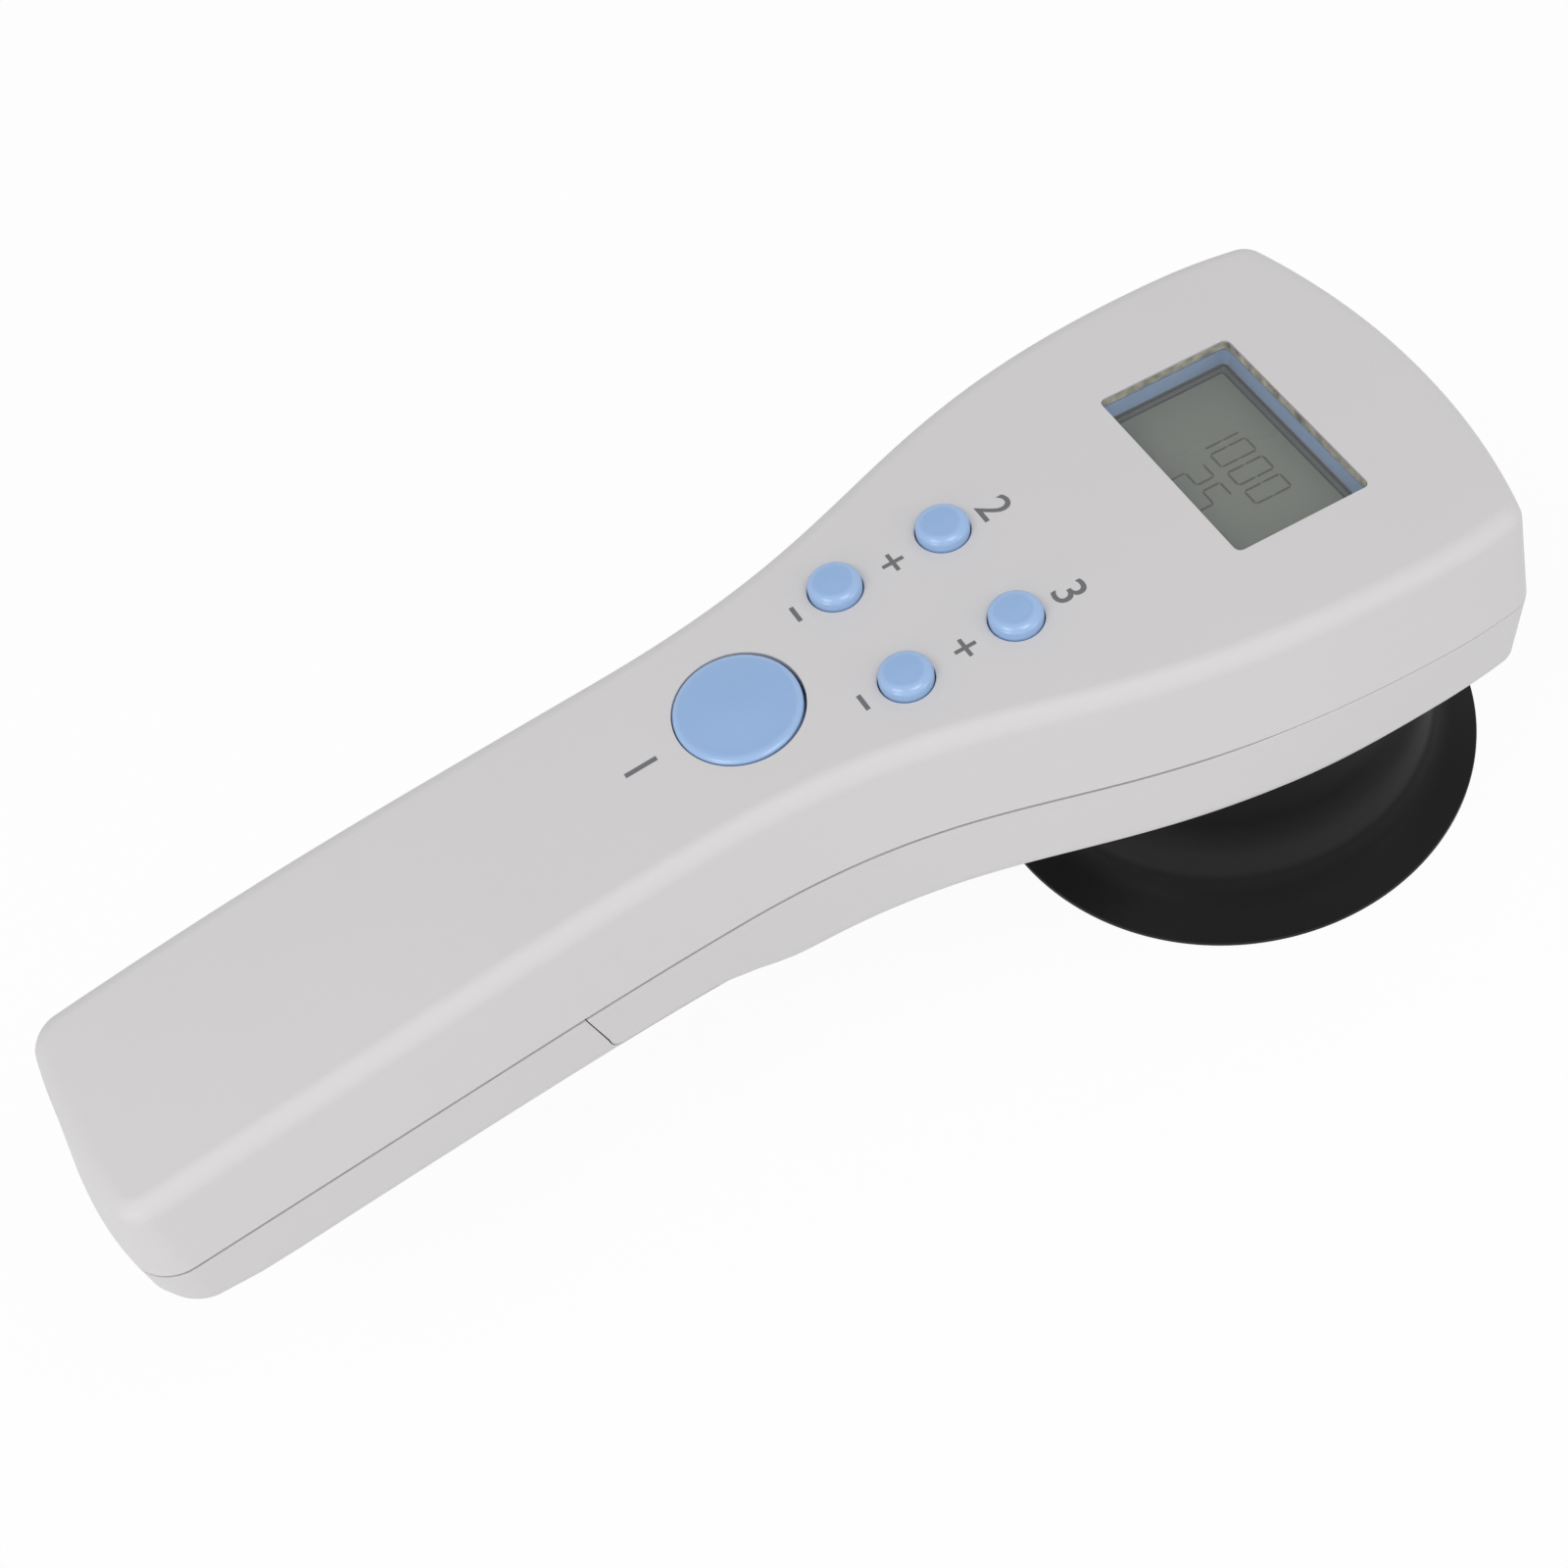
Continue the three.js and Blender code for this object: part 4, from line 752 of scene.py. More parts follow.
def combine(target, tools, operation):
    """Joins tools to a body or cuts them from it."""
    outward(target)
    for tool in tools:
        modifier = target.modifiers.new(operation, "BOOLEAN")
        modifier.operation = operation
        modifier.solver = "MANIFOLD"
        modifier.object = outward(tool)
    bpy.context.view_layer.update()
    evaluated = target.evaluated_get(bpy.context.evaluated_depsgraph_get())
    result = bpy.data.meshes.new_from_object(evaluated)
    target.modifiers.clear()
    old = target.data
    target.data = result
    bpy.data.meshes.remove(old)
    result.name = target.name
    for tool in tools:
        data = tool.data
        bpy.data.objects.remove(tool)
        bpy.data.meshes.remove(data)
    return target


def soften(piece, weighted=False):
    """Smooth shading with sharp edges where the surface turns hard."""
    outward(piece)
    piece.data.shade_smooth()
    piece.data.set_sharp_from_angle(angle=SHARP_ANGLE)
    if weighted:
        modifier = piece.modifiers.new("even_shading", "WEIGHTED_NORMAL")
        modifier.keep_sharp = True
    return piece


# Casing and cover


def mouth_steps(edge):
    """How far a rounded mouth has widened, and how deep it is, at each of its steps."""
    angles = np.linspace(0, MOUTH_TURN, ROUND_STEPS + 1)
    return [(edge * (1 - math.cos(angle)), edge * (1 - math.sin(angle))) for angle in angles]


def flared(radius, top, edge, low):
    """Profile of a round hole's tool whose mouth at height top is widened by a rounding."""
    profile = [(0.0, low), (radius, low)]
    profile += [(radius + grow, top - depth) for grow, depth in mouth_steps(edge)]
    wide, high = profile[-1][0] + edge, profile[-1][1] + 2 * edge
    return [*profile, (wide, high), (0.0, high)]


def handle_lip():
    """The upper shell's lip inside the cover's wall, which closes the joint along the handle."""
    root_height = LIP_HEIGHT + 2 * LIP_CLEARANCE
    low, root = raised(seam_z, -LIP_HEIGHT), raised(seam_z, root_height)
    high = raised(seam_z, root_height + LIP_HEIGHT)
    outer = DRAFT - WALL - LIP_CLEARANCE
    rooted = outer + 2 * LIP_CLEARANCE
    inner = outer - LIP_THICKNESS
    lip = casing_body("handle_lip", seam_rings((outer, low), (outer, root), (rooted, root), (rooted, high)))
    hollow = casing_body("hollow", seam_rings((inner, raised(low, -OVERRUN)), (inner, raised(high, OVERRUN))))
    half = HANDLE_END_HALF + OVERRUN
    far = HANDLE_END_X - SEAM_BOW - OVERRUN
    handle = block("handle", (far, -half, 0.0), (HANDLE_LIP_END_X, half, FACE_CROWN[1]))
    return combine(combine(lip, [hollow], "DIFFERENCE"), [handle], "INTERSECT")


def window_tool():
    """The window through the face, with a rounded mouth."""
    layers = [(WINDOW_LENGTH, WINDOW_WIDTH, WINDOW_RADIUS, -WALL - OVERRUN)]
    for grow, depth in mouth_steps(WINDOW_EDGE):
        layers.append((WINDOW_LENGTH + 2 * grow, WINDOW_WIDTH + 2 * grow, WINDOW_RADIUS + grow, -depth))
    length, width, radius, height = layers[-1]
    layers.append((length + WINDOW_EDGE, width + WINDOW_EDGE, radius, height + 2 * WINDOW_EDGE))
    return face_stack("window", layers)


def upper_casing():
    """The upper shell with its holes for keys and window, and a pocket for the display's frame."""
    shell = casing_body("upper_casing", upper_rings())
    combine(shell, [handle_lip()], "UNION")
    tools = []
    for _, x, y, hole, _ in KEYS:
        face = float(face_z(x))
        profile = flared(hole, face, HOLE_EDGE, face - WALL - OVERRUN)
        tools.append(lathe("hole", profile, x, y, HOLE_SIDES, face_angle(x), face))
    low = -WINDOW_WALL - FRAME_DEPTH - OVERRUN
    pocket = plate("pocket", FRAME_LENGTH + 2 * SEAT_GAP, FRAME_WIDTH + 2 * SEAT_GAP, low, -WINDOW_WALL)
    return soften(combine(shell, [*tools, window_tool(), pocket], "DIFFERENCE"), weighted=True)


def quadratic(start, bend, end, shares):
    """Points of a quadratic curve at some of its shares."""
    start, bend, end = (np.array(point) for point in (start, bend, end))
    return [start * (1 - t) ** 2 + 2 * bend * t * (1 - t) + end * t**2 for t in shares]


def cover_outline(grow):
    """Side view of the battery cover's side of the parting line."""
    edge_z = float(seam_z(COVER_EDGE_X))
    low_z = edge_z - COVER_EDGE_DROP + grow
    lean_x = COVER_EDGE_X + COVER_EDGE_LEAN
    line_z = low_z - COVER_EDGE_CURVE
    far = HANDLE_END_X - SEAM_BOW - DRAFT - OVERRUN
    bottom = HANDLE_FLOOR_CROWN[1] - FLOOR_FILLET
    start, bend, end = (lean_x + grow, low_z), (lean_x + grow, line_z), (lean_x + COVER_EDGE_CURVE, line_z)
    return [
        (far, SEAM_CROWN[1] + OVERRUN),
        (COVER_EDGE_X + grow, SEAM_CROWN[1] + OVERRUN),
        (COVER_EDGE_X + grow, edge_z),
        *quadratic(start, bend, end, np.linspace(0, 1, ROUND_STEPS + 1)),
        (COVER_PANEL_END_X + grow, line_z),
        (COVER_PANEL_END_X + grow, bottom),
        (far, bottom),
    ]


def cover_heights():
    """Heights of the cover panel's inside and of the tongue's two faces."""
    panel_top = float(floor_z(COVER_PANEL_END_X)) + WALL
    tongue_low = panel_top + SEAT_GAP
    return panel_top, tongue_low, tongue_low + TONGUE_THICKNESS


def cover_region(grow):
    """The space of the cover: a side-view form, and a panel between the side walls."""
    reach = BULGE_HALF + OVERRUN
    side = extruded("side", cover_outline(grow), -reach, reach)
    half = WAIST_HALF - WALL - COVER_PANEL_INSET + grow
    low = HANDLE_FLOOR_CROWN[1] - FLOOR_FILLET
    high = cover_heights()[2] + grow
    panel = block("panel", (COVER_EDGE_X, -half, low), (COVER_PANEL_END_X + grow, half, high))
    return combine(side, [panel], "UNION")


def lower_casing():
    """The lower shell with its bosses, each bored through from a counterbore in the underside."""
    shell = casing_body("lower_casing", lower_rings(True))
    bosses, holes = [], []
    for x, y in SCREW_PLACES:
        floor, seam = float(floor_z(x)), float(seam_z(x))
        bosses.append(post("boss", LOWER_BOSS_RADIUS, floor + WALL / 2, seam - SEAM_GAP, x, y))
        sink = flared(COUNTERBORE_RADIUS, -floor, COUNTERBORE_EDGE, -floor - COUNTERBORE_DEPTH)
        holes.append(lathe("sink", [(radius, -z) for radius, z in sink], x, y, SMALL_SIDES))
        holes.append(post("bore", SCREW_BORE, floor - OVERRUN, seam + OVERRUN, x, y))
    combine(shell, [cover_region(COVER_LINE_GAP)], "DIFFERENCE")
    combine(shell, bosses, "UNION")
    return soften(combine(shell, holes, "DIFFERENCE"), weighted=True)


def collar():
    """The round wall under the head that holds the earphone."""
    inner = COLLAR_RADIUS - COLLAR_WALL
    top = float(floor_z(EAR_X - COLLAR_RADIUS)) + WALL / 2
    profile = rounded([
        (0.0, COLLAR_Z, 0),
        (COLLAR_RADIUS, COLLAR_Z, HOLE_EDGE),
        (COLLAR_RADIUS, top, 0),
        (inner, top, 0),
        (inner, COLLAR_Z + PAD_THICKNESS, 0),
        (0.0, COLLAR_Z + PAD_THICKNESS, 0),
    ])
    return soften(lathe("collar", profile, EAR_X, 0.0, CUSHION_SIDES))


def cover_shell():
    """The battery cover, with its tongue under the neck and its grips for the thumb."""
    shell = casing_body("cover_shell", lower_rings(False))
    combine(shell, [cover_region(0.0)], "INTERSECT")
    panel_top, tongue_low, tongue_high = cover_heights()
    root_x = COVER_PANEL_END_X - TONGUE_ROOT
    tongue = []
    for low_z, length in ((panel_top - WALL / 2, 0.0), (tongue_low, TONGUE_LENGTH)):
        tongue.append(block("tongue", (root_x, -TONGUE_HALF, low_z),
                            (COVER_PANEL_END_X + length, TONGUE_HALF, tongue_high)))
    combine(shell, tongue, "UNION")
    grips = []
    for i in range(GRIP_COUNT):
        x = GRIP_X + i * GRIP_PITCH
        floor = float(floor_z(x))
        grips.append(block("grip", (x - GRIP_WIDTH / 2, -GRIP_HALF, floor - OVERRUN),
                           (x + GRIP_WIDTH / 2, GRIP_HALF, floor + GRIP_DEPTH)))
    combine(shell, grips, "DIFFERENCE")
    return soften(shell, weighted=True)


# Keys, cushion and grille


def key_cap(name, x, y, hole, gap, rise, dome, edge_width, edge_depth, play):
    """A low crown with a rounded edge, its skirt and its flange, square to the face where it stands."""
    face = float(face_z(x))
    radius = hole - gap
    rim = face + rise
    flange_top = face - WALL - GUIDE_HEIGHT - SEAT_GAP
    flange_low = flange_top - KEY_FLANGE_THICKNESS
    inner = radius - KEY_SKIN
    underside = face - WALL / 2 - KEY_SKIN / 2
    crown = []
    for share in np.linspace(0, 1, KEY_STEPS + 1)[:-1]:
        crown.append(((radius - edge_width) * share, rim + dome * (1 - share**2) ** 2))
    for angle in np.linspace(math.pi / 2, 0, KEY_STEPS + 1):
        in_by, down_by = edge_width * (1 - math.cos(angle)), edge_depth * (1 - math.sin(angle))
        crown.append((radius - in_by, rim - down_by))
    flange = hole + KEY_FLANGE
    skirt = [(radius, flange_top), (flange, flange_top), (flange, flange_low), (inner, flange_low)]
    profile = [*crown, *skirt, (inner, underside), (0.0, underside)]
    return soften(lathe(name + "_cap", profile, x - play, y, HOLE_SIDES, face_angle(x), face))


def shoulder_line():
    """The cushion's outside from its brim over the shoulder to its neck, blended softly at both."""
    crease = np.array((CREASE_RADIUS, CREASE_Z))
    neck_foot = np.array((CUSHION_NECK_RADIUS, SHOULDER_TOP_Z))
    bulge = (CREASE_RADIUS + SHOULDER_BULGE, (CREASE_Z + SHOULDER_TOP_Z) / 2)
    side = quadratic(crease, bulge, neck_foot, np.linspace(SOFT_SHARE, 1 - SOFT_SHARE, FILLET_STEPS + 1))
    outward_brim = np.array((RIM_RADIUS, RIM_THICKNESS)) - crease
    on_brim = crease + outward_brim / np.linalg.norm(outward_brim) * SOFT_REACH
    on_neck = neck_foot + (0, SOFT_REACH)
    shares = np.linspace(0, 1, FILLET_STEPS + 1)
    low = quadratic(on_brim, crease, side[0], shares)
    high = quadratic(side[-1], neck_foot, on_neck, shares)
    return [(radius, height, 0) for radius, height in [*low, *side[1:], *high[1:]]]


def cushion():
    """The rubber cushion: flat rim, conical brim, soft shoulder and hollow bowl."""
    hold = HOUSING_RADIUS + SEAT_GAP
    shelf = HOUSING_BOTTOM_Z - SEAT_GAP
    rim_round = RIM_THICKNESS * RIM_ROUND_SHARE
    profile = rounded([
        (RIM_RADIUS - RIM_FACE, 0.0, 0),
        (RIM_RADIUS, 0.0, rim_round / 2),
        (RIM_RADIUS, RIM_THICKNESS, rim_round),
        *shoulder_line(),
        (CUSHION_NECK_RADIUS, CUSHION_TOP_Z, HOLE_EDGE),
        (hold, CUSHION_TOP_Z, HOLE_EDGE),
        (hold, shelf, 0),
        (THROAT_RADIUS, shelf, HOLE_EDGE),
        (THROAT_RADIUS, THROAT_Z, HOLE_EDGE),
        (BOWL_RADIUS, BOWL_Z, INNER_FILLET),
        (RIM_RADIUS - RIM_FACE, 0.0, 0),
    ])[:-1]
    return soften(lathe("cushion", profile, EAR_X, 0.0, CUSHION_SIDES, closed=True))


def grille():
    """The round plate over the driver, with rings of holes round a middle one."""
    radius = HOUSING_RADIUS - HOUSING_WALL - SEAT_GAP
    low, high = HOUSING_BOTTOM_Z, HOUSING_BOTTOM_Z + GRILLE_THICKNESS
    disc = post("grille", radius, low, high, EAR_X, 0.0, CUSHION_SIDES)
    places = [(0.0, 0.0)]
    for ring in range(1, GRILLE_RINGS + 1):
        count = GRILLE_HOLES_PER_RING * ring
        for i in range(count):
            angle = 2 * math.pi * i / count
            reach = ring * GRILLE_RING_STEP
            places.append((reach * math.cos(angle), reach * math.sin(angle)))
    holes = [post("hole", GRILLE_HOLE_RADIUS, low - OVERRUN, high + OVERRUN, EAR_X + x, y) for x, y in places]
    return soften(combine(disc, holes, "DIFFERENCE"))


# Display


def window_lens():
    gap = 2 * LENS_GAP
    return soften(plate("window_lens", WINDOW_LENGTH - gap, WINDOW_WIDTH - gap, -WINDOW_WALL, -LENS_RECESS))


def display_bezel():
    body = plate("display_bezel", FRAME_LENGTH, FRAME_WIDTH, FRAME_LOW, FRAME_TOP)
    opening = plate("opening", WINDOW_LENGTH, WINDOW_WIDTH, FRAME_LOW - OVERRUN, FRAME_TOP + OVERRUN)
    return soften(combine(body, [opening], "DIFFERENCE"))


def display_glass():
    return soften(plate("display_glass", LCD_LENGTH, LCD_WIDTH, LCD_LOW, LCD_TOP))


# Flat marks


def bar_axes(from_point, to_point, stroke, gap=0.0):
    """The ends of a bar, each drawn in by a gap, and half its stroke along it and across it."""
    start, end = np.array(from_point), np.array(to_point)
    way = (end - start) / np.linalg.norm(end - start)
    along = way * stroke / 2
    return start + way * gap, end - way * gap, along, np.array((-along[1], along[0]))


def segment(from_point, to_point, stroke, gap=0.0):
    """Places and faces of a thin bar with pointed ends on the display's glass."""
    start, end, tip, across = bar_axes(from_point, to_point, stroke, gap)
    outline = [start, start + tip - across, end - tip - across, end, end - tip + across, start + tip + across]
    return prism(outline, LCD_TOP, LCD_TOP + SEGMENT_HEIGHT)


def gather(name, parts, place):
    """One mesh from many (places, faces), each place run through a function."""
    places, faces = [], []
    for part_places, part_faces in parts:
        first = len(places)
        places.extend(part_places)
        faces.extend([first + i for i in face] for face in part_faces)
    return outward(make_mesh(name, place(np.array(places, dtype=float)), faces))


def segment_bars(digit, x, y):
    """Bars of one seven-segment digit whose middle is at (x, y): its top points along +X and its
    right side along -Y."""
    half_length, half_width = DIGIT_LENGTH / 2, DIGIT_WIDTH / 2
    bars = []
    for letter in SEGMENTS_BY_DIGIT[digit]:
        start, end = ((x + u * half_length, y + v * half_width) for u, v in SEGMENT_ENDS[letter])
        bars.append(segment(start, end, DIGIT_STROKE, DIGIT_GAP))
    return bars


def ring_bars(lines):
    """Bars round the display's visible area, along its lines."""
    bars = []
    for inset, stroke in lines:
        x, y = WINDOW_LENGTH / 2 - inset - stroke / 2, WINDOW_WIDTH / 2 - inset - stroke / 2
        corners = [(x, y), (x, -y), (-x, -y), (-x, y)]
        bars += [segment(a, b, stroke) for a, b in zip(corners, corners[1:] + corners[:1])]
    return bars


def glass_lines(name, lines):
    """Lines round the display's visible area."""
    return gather(name, ring_bars(lines), on_face)


def display_digits():
    """The two readings in seven-segment digits."""
    parts = []
    for text, x, first_y in READINGS:
        for i, digit in enumerate(text):
            parts.extend(segment_bars(digit, x, first_y - i * DIGIT_PITCH))
    return gather("display_digits", parts, on_face)


def square_bar(from_point, to_point, stroke):
    """A bar with square ends between two points, as thick as printed ink."""
    start, end, _, across = bar_axes(from_point, to_point, stroke)
    return prism([start - across, end - across, end + across, start + across], 0.0, MARK_RISE)


def over_face(places):
    """Lifts flat places onto the curved face."""
    lifted = places.copy()
    lifted[:, 2] += face_z(places[:, 0])
    return lifted


def signs():
    """Plus and minus signs beside the small keys."""
    parts = []
    for x, y in MINUS_PLACES:
        parts.append(square_bar((x, y - MINUS_HALF), (x, y + MINUS_HALF), MINUS_STROKE))
    for x, y in PLUS_PLACES:
        parts.append(square_bar((x, y - PLUS_HALF), (x, y + PLUS_HALF), PLUS_STROKE))
        for side in (-1, 1):
            inner = side * PLUS_STROKE / 2
            parts.append(square_bar((x + inner, y), (x + side * PLUS_HALF, y), PLUS_STROKE))
    return gather("key_signs", parts, over_face)


def numbers():
    """Plain numbers beside the keys, in the font that is built into Blender."""
    pieces = []
    for text, x, y in NUMBER_PLACES:
        curve = bpy.data.curves.new("number", "FONT")
        curve.body = text
        curve.size = NUMBER_SIZE
        curve.offset = NUMBER_BOLDNESS
        curve.extrude = MARK_RISE / 2
        curve.align_x = "CENTER"
        curve.align_y = "CENTER"
        holder = linked(bpy.data.objects.new("number", curve))
        bpy.context.view_layer.update()
        graph = bpy.context.evaluated_depsgraph_get()
        mesh = bpy.data.meshes.new_from_object(holder.evaluated_get(graph))
        bpy.data.objects.remove(holder)
        places = [(x + v.co.y, y - v.co.x, v.co.z + MARK_RISE / 2) for v in mesh.vertices]
        faces = [list(p.vertices) for p in mesh.polygons]
        bpy.data.meshes.remove(mesh)
        pieces.append((places, faces))
    return gather("key_numbers", pieces, over_face)


# Materials


def linear(red, green, blue):
    """A linear colour from screen values."""
    values = []
    for value in (red, green, blue):
        share = value / SCREEN_WHITE
        if share <= TOE_END_SHARE:
            values.append(share / TOE_SLOPE)
        else:
            values.append(((share + CURVE_OFFSET) / (1 + CURVE_OFFSET)) ** CURVE_POWER)
    return (*values, 1.0)


def bare_material(name):
    """A new material, its node tree and its shader."""
    material = bpy.data.materials.new(name)
    material.use_nodes = True
    return material, material.node_tree, material.node_tree.nodes["Principled BSDF"]


def feed(tree, node, **inputs):
    """Gives a node's inputs values, or links them to other nodes' outputs."""
    for name, source in inputs.items():
        socket = node.inputs[name.replace("_", " ")]
        if isinstance(source, bpy.types.NodeSocket):
            tree.links.new(source, socket)
        else:
            socket.default_value = source


def add_node(tree, kind, **inputs):
    """A shader node with some of its inputs given."""
    node = tree.nodes.new("ShaderNode" + kind)
    feed(tree, node, **inputs)
    return node


def map_range(tree, source, **limits):
    """A source's range from 0 to 1 turned to another one."""
    return add_node(tree, "MapRange", Value=source, **limits).outputs["Result"]


def color_ramp(tree, source, steps):
    """Colours along a source, through steps of (position share, screen colour)."""
    node = add_node(tree, "ValToRGB", Fac=source)
    elements = node.color_ramp.elements
    while len(elements) < len(steps):
        elements.new(1.0)
    for element, (position_share, color) in zip(elements, steps):
        element.position = position_share
        element.color = linear(*color)
    return node.outputs["Color"]


def object_place(tree):
    return add_node(tree, "TexCoord").outputs["Object"]


def noise(tree, place, scale, detail):
    """Noise over a place in the object's own metres."""
    return add_node(tree, "TexNoise", Scale=scale, Detail=detail, Vector=place).outputs["Fac"]


def moulded(name, color, tone_share, roughness, spread, grain, depth,
            specular=PLAIN_SPECULAR, cloud_scale=CLOUD_SCALE, metallic=0.0):
    """A moulded finish: two close tones in soft clouds, uneven gloss and a fine grain."""
    material, tree, shader = bare_material(name)
    place = object_place(tree)
    clouds = noise(tree, place, cloud_scale, CLOUD_DETAIL)
    darker = [value * tone_share for value in color]
    tones = color_ramp(tree, clouds, list(zip(CLOUD_SHARES, (darker, color))))
    gloss = map_range(tree, clouds, To_Min=roughness - spread, To_Max=roughness + spread)
    grains = noise(tree, place, grain, GRAIN_DETAIL)
    bump = add_node(tree, "Bump", Strength=1.0, Distance=depth, Height=grains)
    feed(tree, shader, Base_Color=tones, Roughness=gloss, Normal=bump.outputs["Normal"])
    feed(tree, shader, Specular_IOR_Level=specular, Metallic=metallic)
    return material


def clear_material():
    """Clear acrylic with faint smears."""
    material, tree, shader = bare_material("clear_acrylic")
    smears = noise(tree, object_place(tree), SMEAR_SCALE, GRAIN_DETAIL)
    low, high = CLEAR_ROUGHNESS - CLEAR_SPREAD, CLEAR_ROUGHNESS + CLEAR_SPREAD
    gloss = map_range(tree, smears, To_Min=low, To_Max=high)
    feed(tree, shader, Base_Color=linear(*CLEAR_COLOR), Roughness=gloss, Alpha=CLEAR_ALPHA)
    return material


def paint_sheen_and_shade(material):
    """Paints light and shade into the rubber's colour by height: a painted sheen greys the cushion's
    shoulder, and painted shade from the casing above makes its neck darkest.
    """
    tree = material.node_tree
    shader = tree.nodes["Principled BSDF"]
    clouds = shader.inputs["Base Color"].links[0].from_socket
    place = add_node(tree, "SeparateXYZ", Vector=object_place(tree))
    height = map_range(tree, place.outputs["Z"], From_Max=RUBBER_TOP_Z * MM)
    # Painted sheen on the shoulder and painted shade at the neck, as grey tones by height
    tones = color_ramp(tree, height, [(z / RUBBER_TOP_Z, (tone, tone, tone)) for z, tone in RUBBER_PAINTED_LIGHT_TONES])
    both = add_node(tree, "Mix")
    both.data_type = "RGBA"
    feed(tree, both, Factor=RUBBER_CLOUD_SHARE, A=tones, B=clouds)
    feed(tree, shader, Base_Color=both.outputs["Result"])


def make_materials():
    materials = {}
    for key, finish in FINISHES.items():
        materials[key] = moulded(*finish, metallic=float(key in METALS))
    # The rubber gets painted sheen and painted shade by height
    paint_sheen_and_shade(materials["rubber"])
    materials["clear"] = clear_material()
    return materials


def dress(piece, material):
    piece.data.materials.clear()
    piece.data.materials.append(material)


def dress_nodes(nodes, materials):
    """Dresses each carried-over node in the finish that a part of its name stands for."""
    for key, name_parts in NAME_PARTS.items():
        for name, node in nodes.items():
            if any(part in name for part in name_parts):
                dress(node, materials[key])


def edge_lens(lens, material):
    """The lens's narrow sides carry the adhesive that holds it."""
    lens.data.materials.append(material)
    up = Vector((math.sin(face_angle(WINDOW_X)), 0, math.cos(face_angle(WINDOW_X))))
    for face in lens.data.polygons:
        face.material_index = 0 if abs(face.normal.dot(up)) > math.cos(EDGE_ANGLE) else 1


# Stage


def add_camera():
    data = bpy.data.cameras.new("camera")
    data.lens = FOCAL_PIXELS / IMAGE_SIDE * data.sensor_width
    data.clip_start = NEAREST_SEEN * MM
    camera = linked(bpy.data.objects.new("camera", data))
    turns = Euler([math.radians(turn) for turn in CAMERA_TURNS])
    place = Vector((CAMERA_PLACE[0] - MIDDLE_X, CAMERA_PLACE[1], CAMERA_PLACE[2])) * MM
    camera.matrix_world = Matrix.Translation(place) @ turns.to_matrix().to_4x4()
    bpy.context.scene.camera = camera


def seen_share(tree):
    """1 for what the camera sees directly, in a gloss or through glass, and 0 for other light."""
    path = add_node(tree, "LightPath")
    total = path.outputs["Is Camera Ray"]
    for output in ("Is Glossy Ray", "Is Transmission Ray"):
        either = add_node(tree, "Math")
        either.operation = "MAXIMUM"
        tree.links.new(total, either.inputs[0])
        tree.links.new(path.outputs[output], either.inputs[1])
        total = either.outputs[0]
    return total


def flat_sheet(name, width, height, material):
    """A flat rectangle of the stage, lying round the origin."""
    corners = [(-1, -1), (1, -1), (1, 1), (-1, 1)]
    mesh = bpy.data.meshes.new(name)
    mesh.from_pydata([(x * width / 2, y * height / 2, 0) for x, y in corners], [], [(0, 1, 2, 3)])
    mesh.materials.append(material)
    return linked(bpy.data.objects.new(name, mesh))


def floor_material():
    """A plain pale floor that is seen as nearly white and keeps the object's shadow."""
    material, tree, shader = bare_material("pale_floor")
    tree.nodes.remove(shader)
    plain = add_node(tree, "BsdfDiffuse", Color=(FLOOR_TONE, FLOOR_TONE, FLOOR_TONE, 1))
    white = add_node(tree, "Emission")
    mix = add_node(tree, "MixShader", Fac=map_range(tree, seen_share(tree), To_Max=FLOOR_WHITE_SHARE))
    tree.links.new(plain.outputs[0], mix.inputs[1])
    tree.links.new(white.outputs[0], mix.inputs[2])
    feed(tree, tree.nodes["Material Output"], Surface=mix.outputs[0])
    return material


def add_floor():
    floor = flat_sheet("floor", FLOOR_SIDE, FLOOR_SIDE, floor_material())


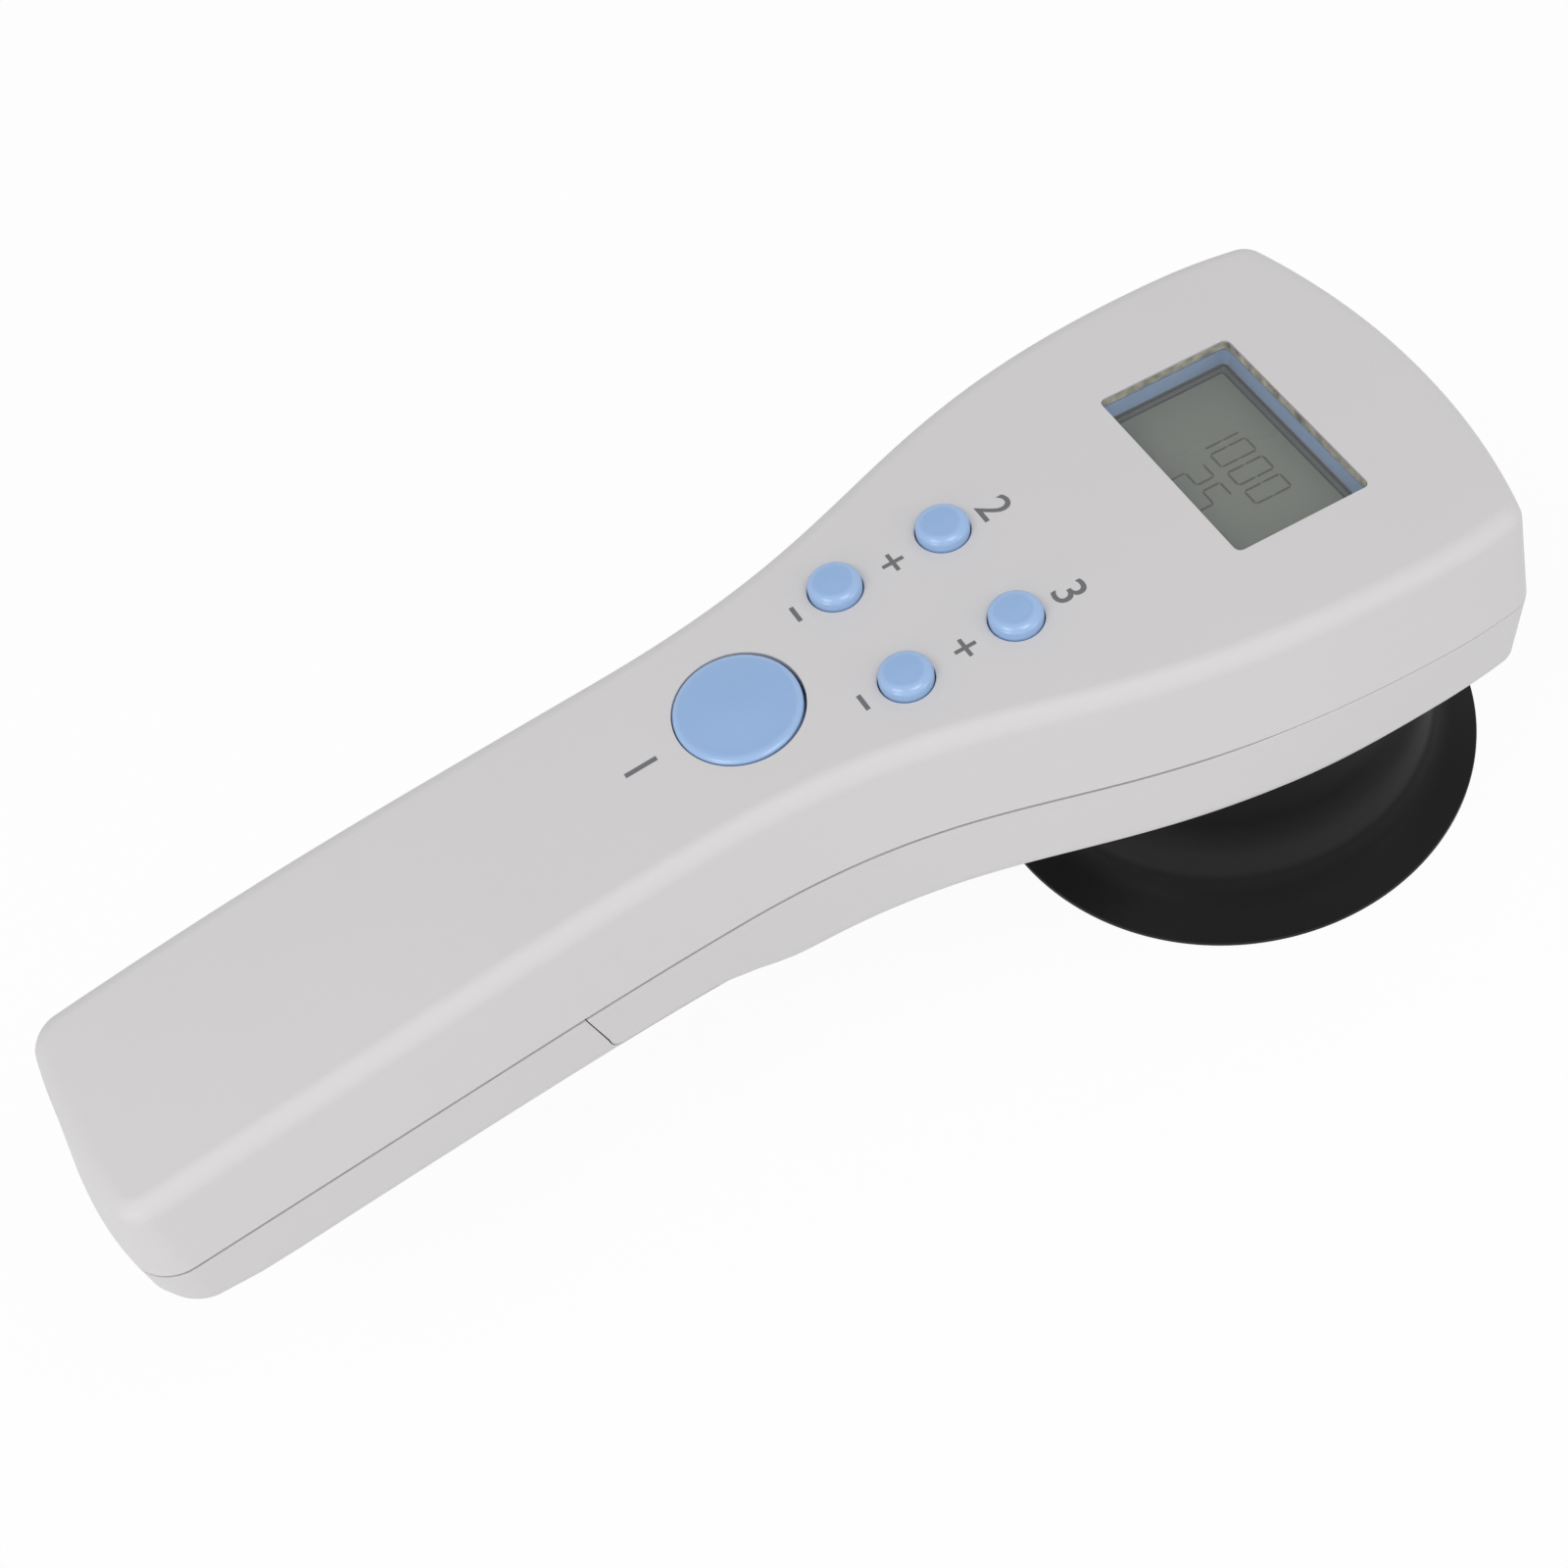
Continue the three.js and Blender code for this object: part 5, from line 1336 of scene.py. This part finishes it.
def add_flag():
    """A grey card over the back, which the tops of the keys and the display mirror."""
    material, tree, shader = bare_material("flag_cloth")
    feed(tree, shader, Base_Color=(FLAG_TONE, FLAG_TONE, FLAG_TONE, 1), Roughness=1.0)
    flag = flat_sheet("flag", FLAG_WIDTH, FLAG_HEIGHT, material)
    flag.location = FLAG_PLACE
    flag.rotation_euler = (-Vector(FLAG_PLACE)).to_track_quat("Z", "Y").to_euler()
    flag.visible_camera = False


def add_light():
    world = bpy.data.worlds.new("studio")
    world.use_nodes = True
    tree = world.node_tree
    strength = map_range(tree, seen_share(tree), To_Min=WORLD_STRENGTH, To_Max=1.0)
    feed(tree, tree.nodes["Background"], Color=(1, 1, 1, 1), Strength=strength)
    bpy.context.scene.world = world
    for name, place, size, power in LAMPS:
        data = bpy.data.lights.new(name, "AREA")
        data.size = size
        data.energy = power
        lamp = linked(bpy.data.objects.new(name, data))
        lamp.location = place
        lamp.rotation_euler = (-Vector(place)).to_track_quat("-Z", "Y").to_euler()


# The whole scene


def main():
    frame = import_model()
    materials = make_materials()
    dress_nodes(frame["nodes"], materials)
    pieces = [
        (upper_casing(), "casing", "casing", "casing", ["upper_shell"]),
        (lower_casing(), "casing", "casing", "casing", ["lower_shell"]),
        (collar(), "casing", "casing", "casing", []),
        (cover_shell(), "cover", "casing", "casing", ["battery_cover"]),
        (cushion(), "casing", "rubber", "cushion", ["ear_cushion"]),
        (grille(), "casing", "dark", "dark_plastic", ["earphone_grille"]),
        (display_bezel(), "casing", "bezel", "display_frame", ["display_frame"]),
        (display_glass(), "casing", "lcd", "lcd", ["lcd_panel"]),
        (display_digits(), "casing", "digits", "lcd", []),
        # Painted shadow at the frame's opening, and the display's own seal further in
        (glass_lines("glass_seal_and_shadow", SEAL_AND_PAINTED_SHADOW_LINES), "casing", "seal", "lcd", []),
        (glass_lines("glass_border", BORDER_LINES), "casing", "border", "lcd", []),
        (signs(), "casing", "ink", "casing", []),
        (numbers(), "casing", "ink", "casing", []),
    ]
    for name, x, y, hole, form in KEYS:
        pieces.append((key_cap(name, x, y, hole, **form), name, "key", "key", [name + "_key"]))
    lens = window_lens()
    pieces.append((lens, "casing", "clear", "lens", ["display_lens"]))
    for piece, body, material, slot, nodes in pieces:
        dress(piece, materials[material])
        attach(piece, body)
        if nodes:
            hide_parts(*nodes)
    edge_lens(lens, materials["rim"])
    add_camera()
    add_floor()
    add_flag()
    add_light()
    bpy.context.scene.view_settings.view_transform = "Standard"


main()
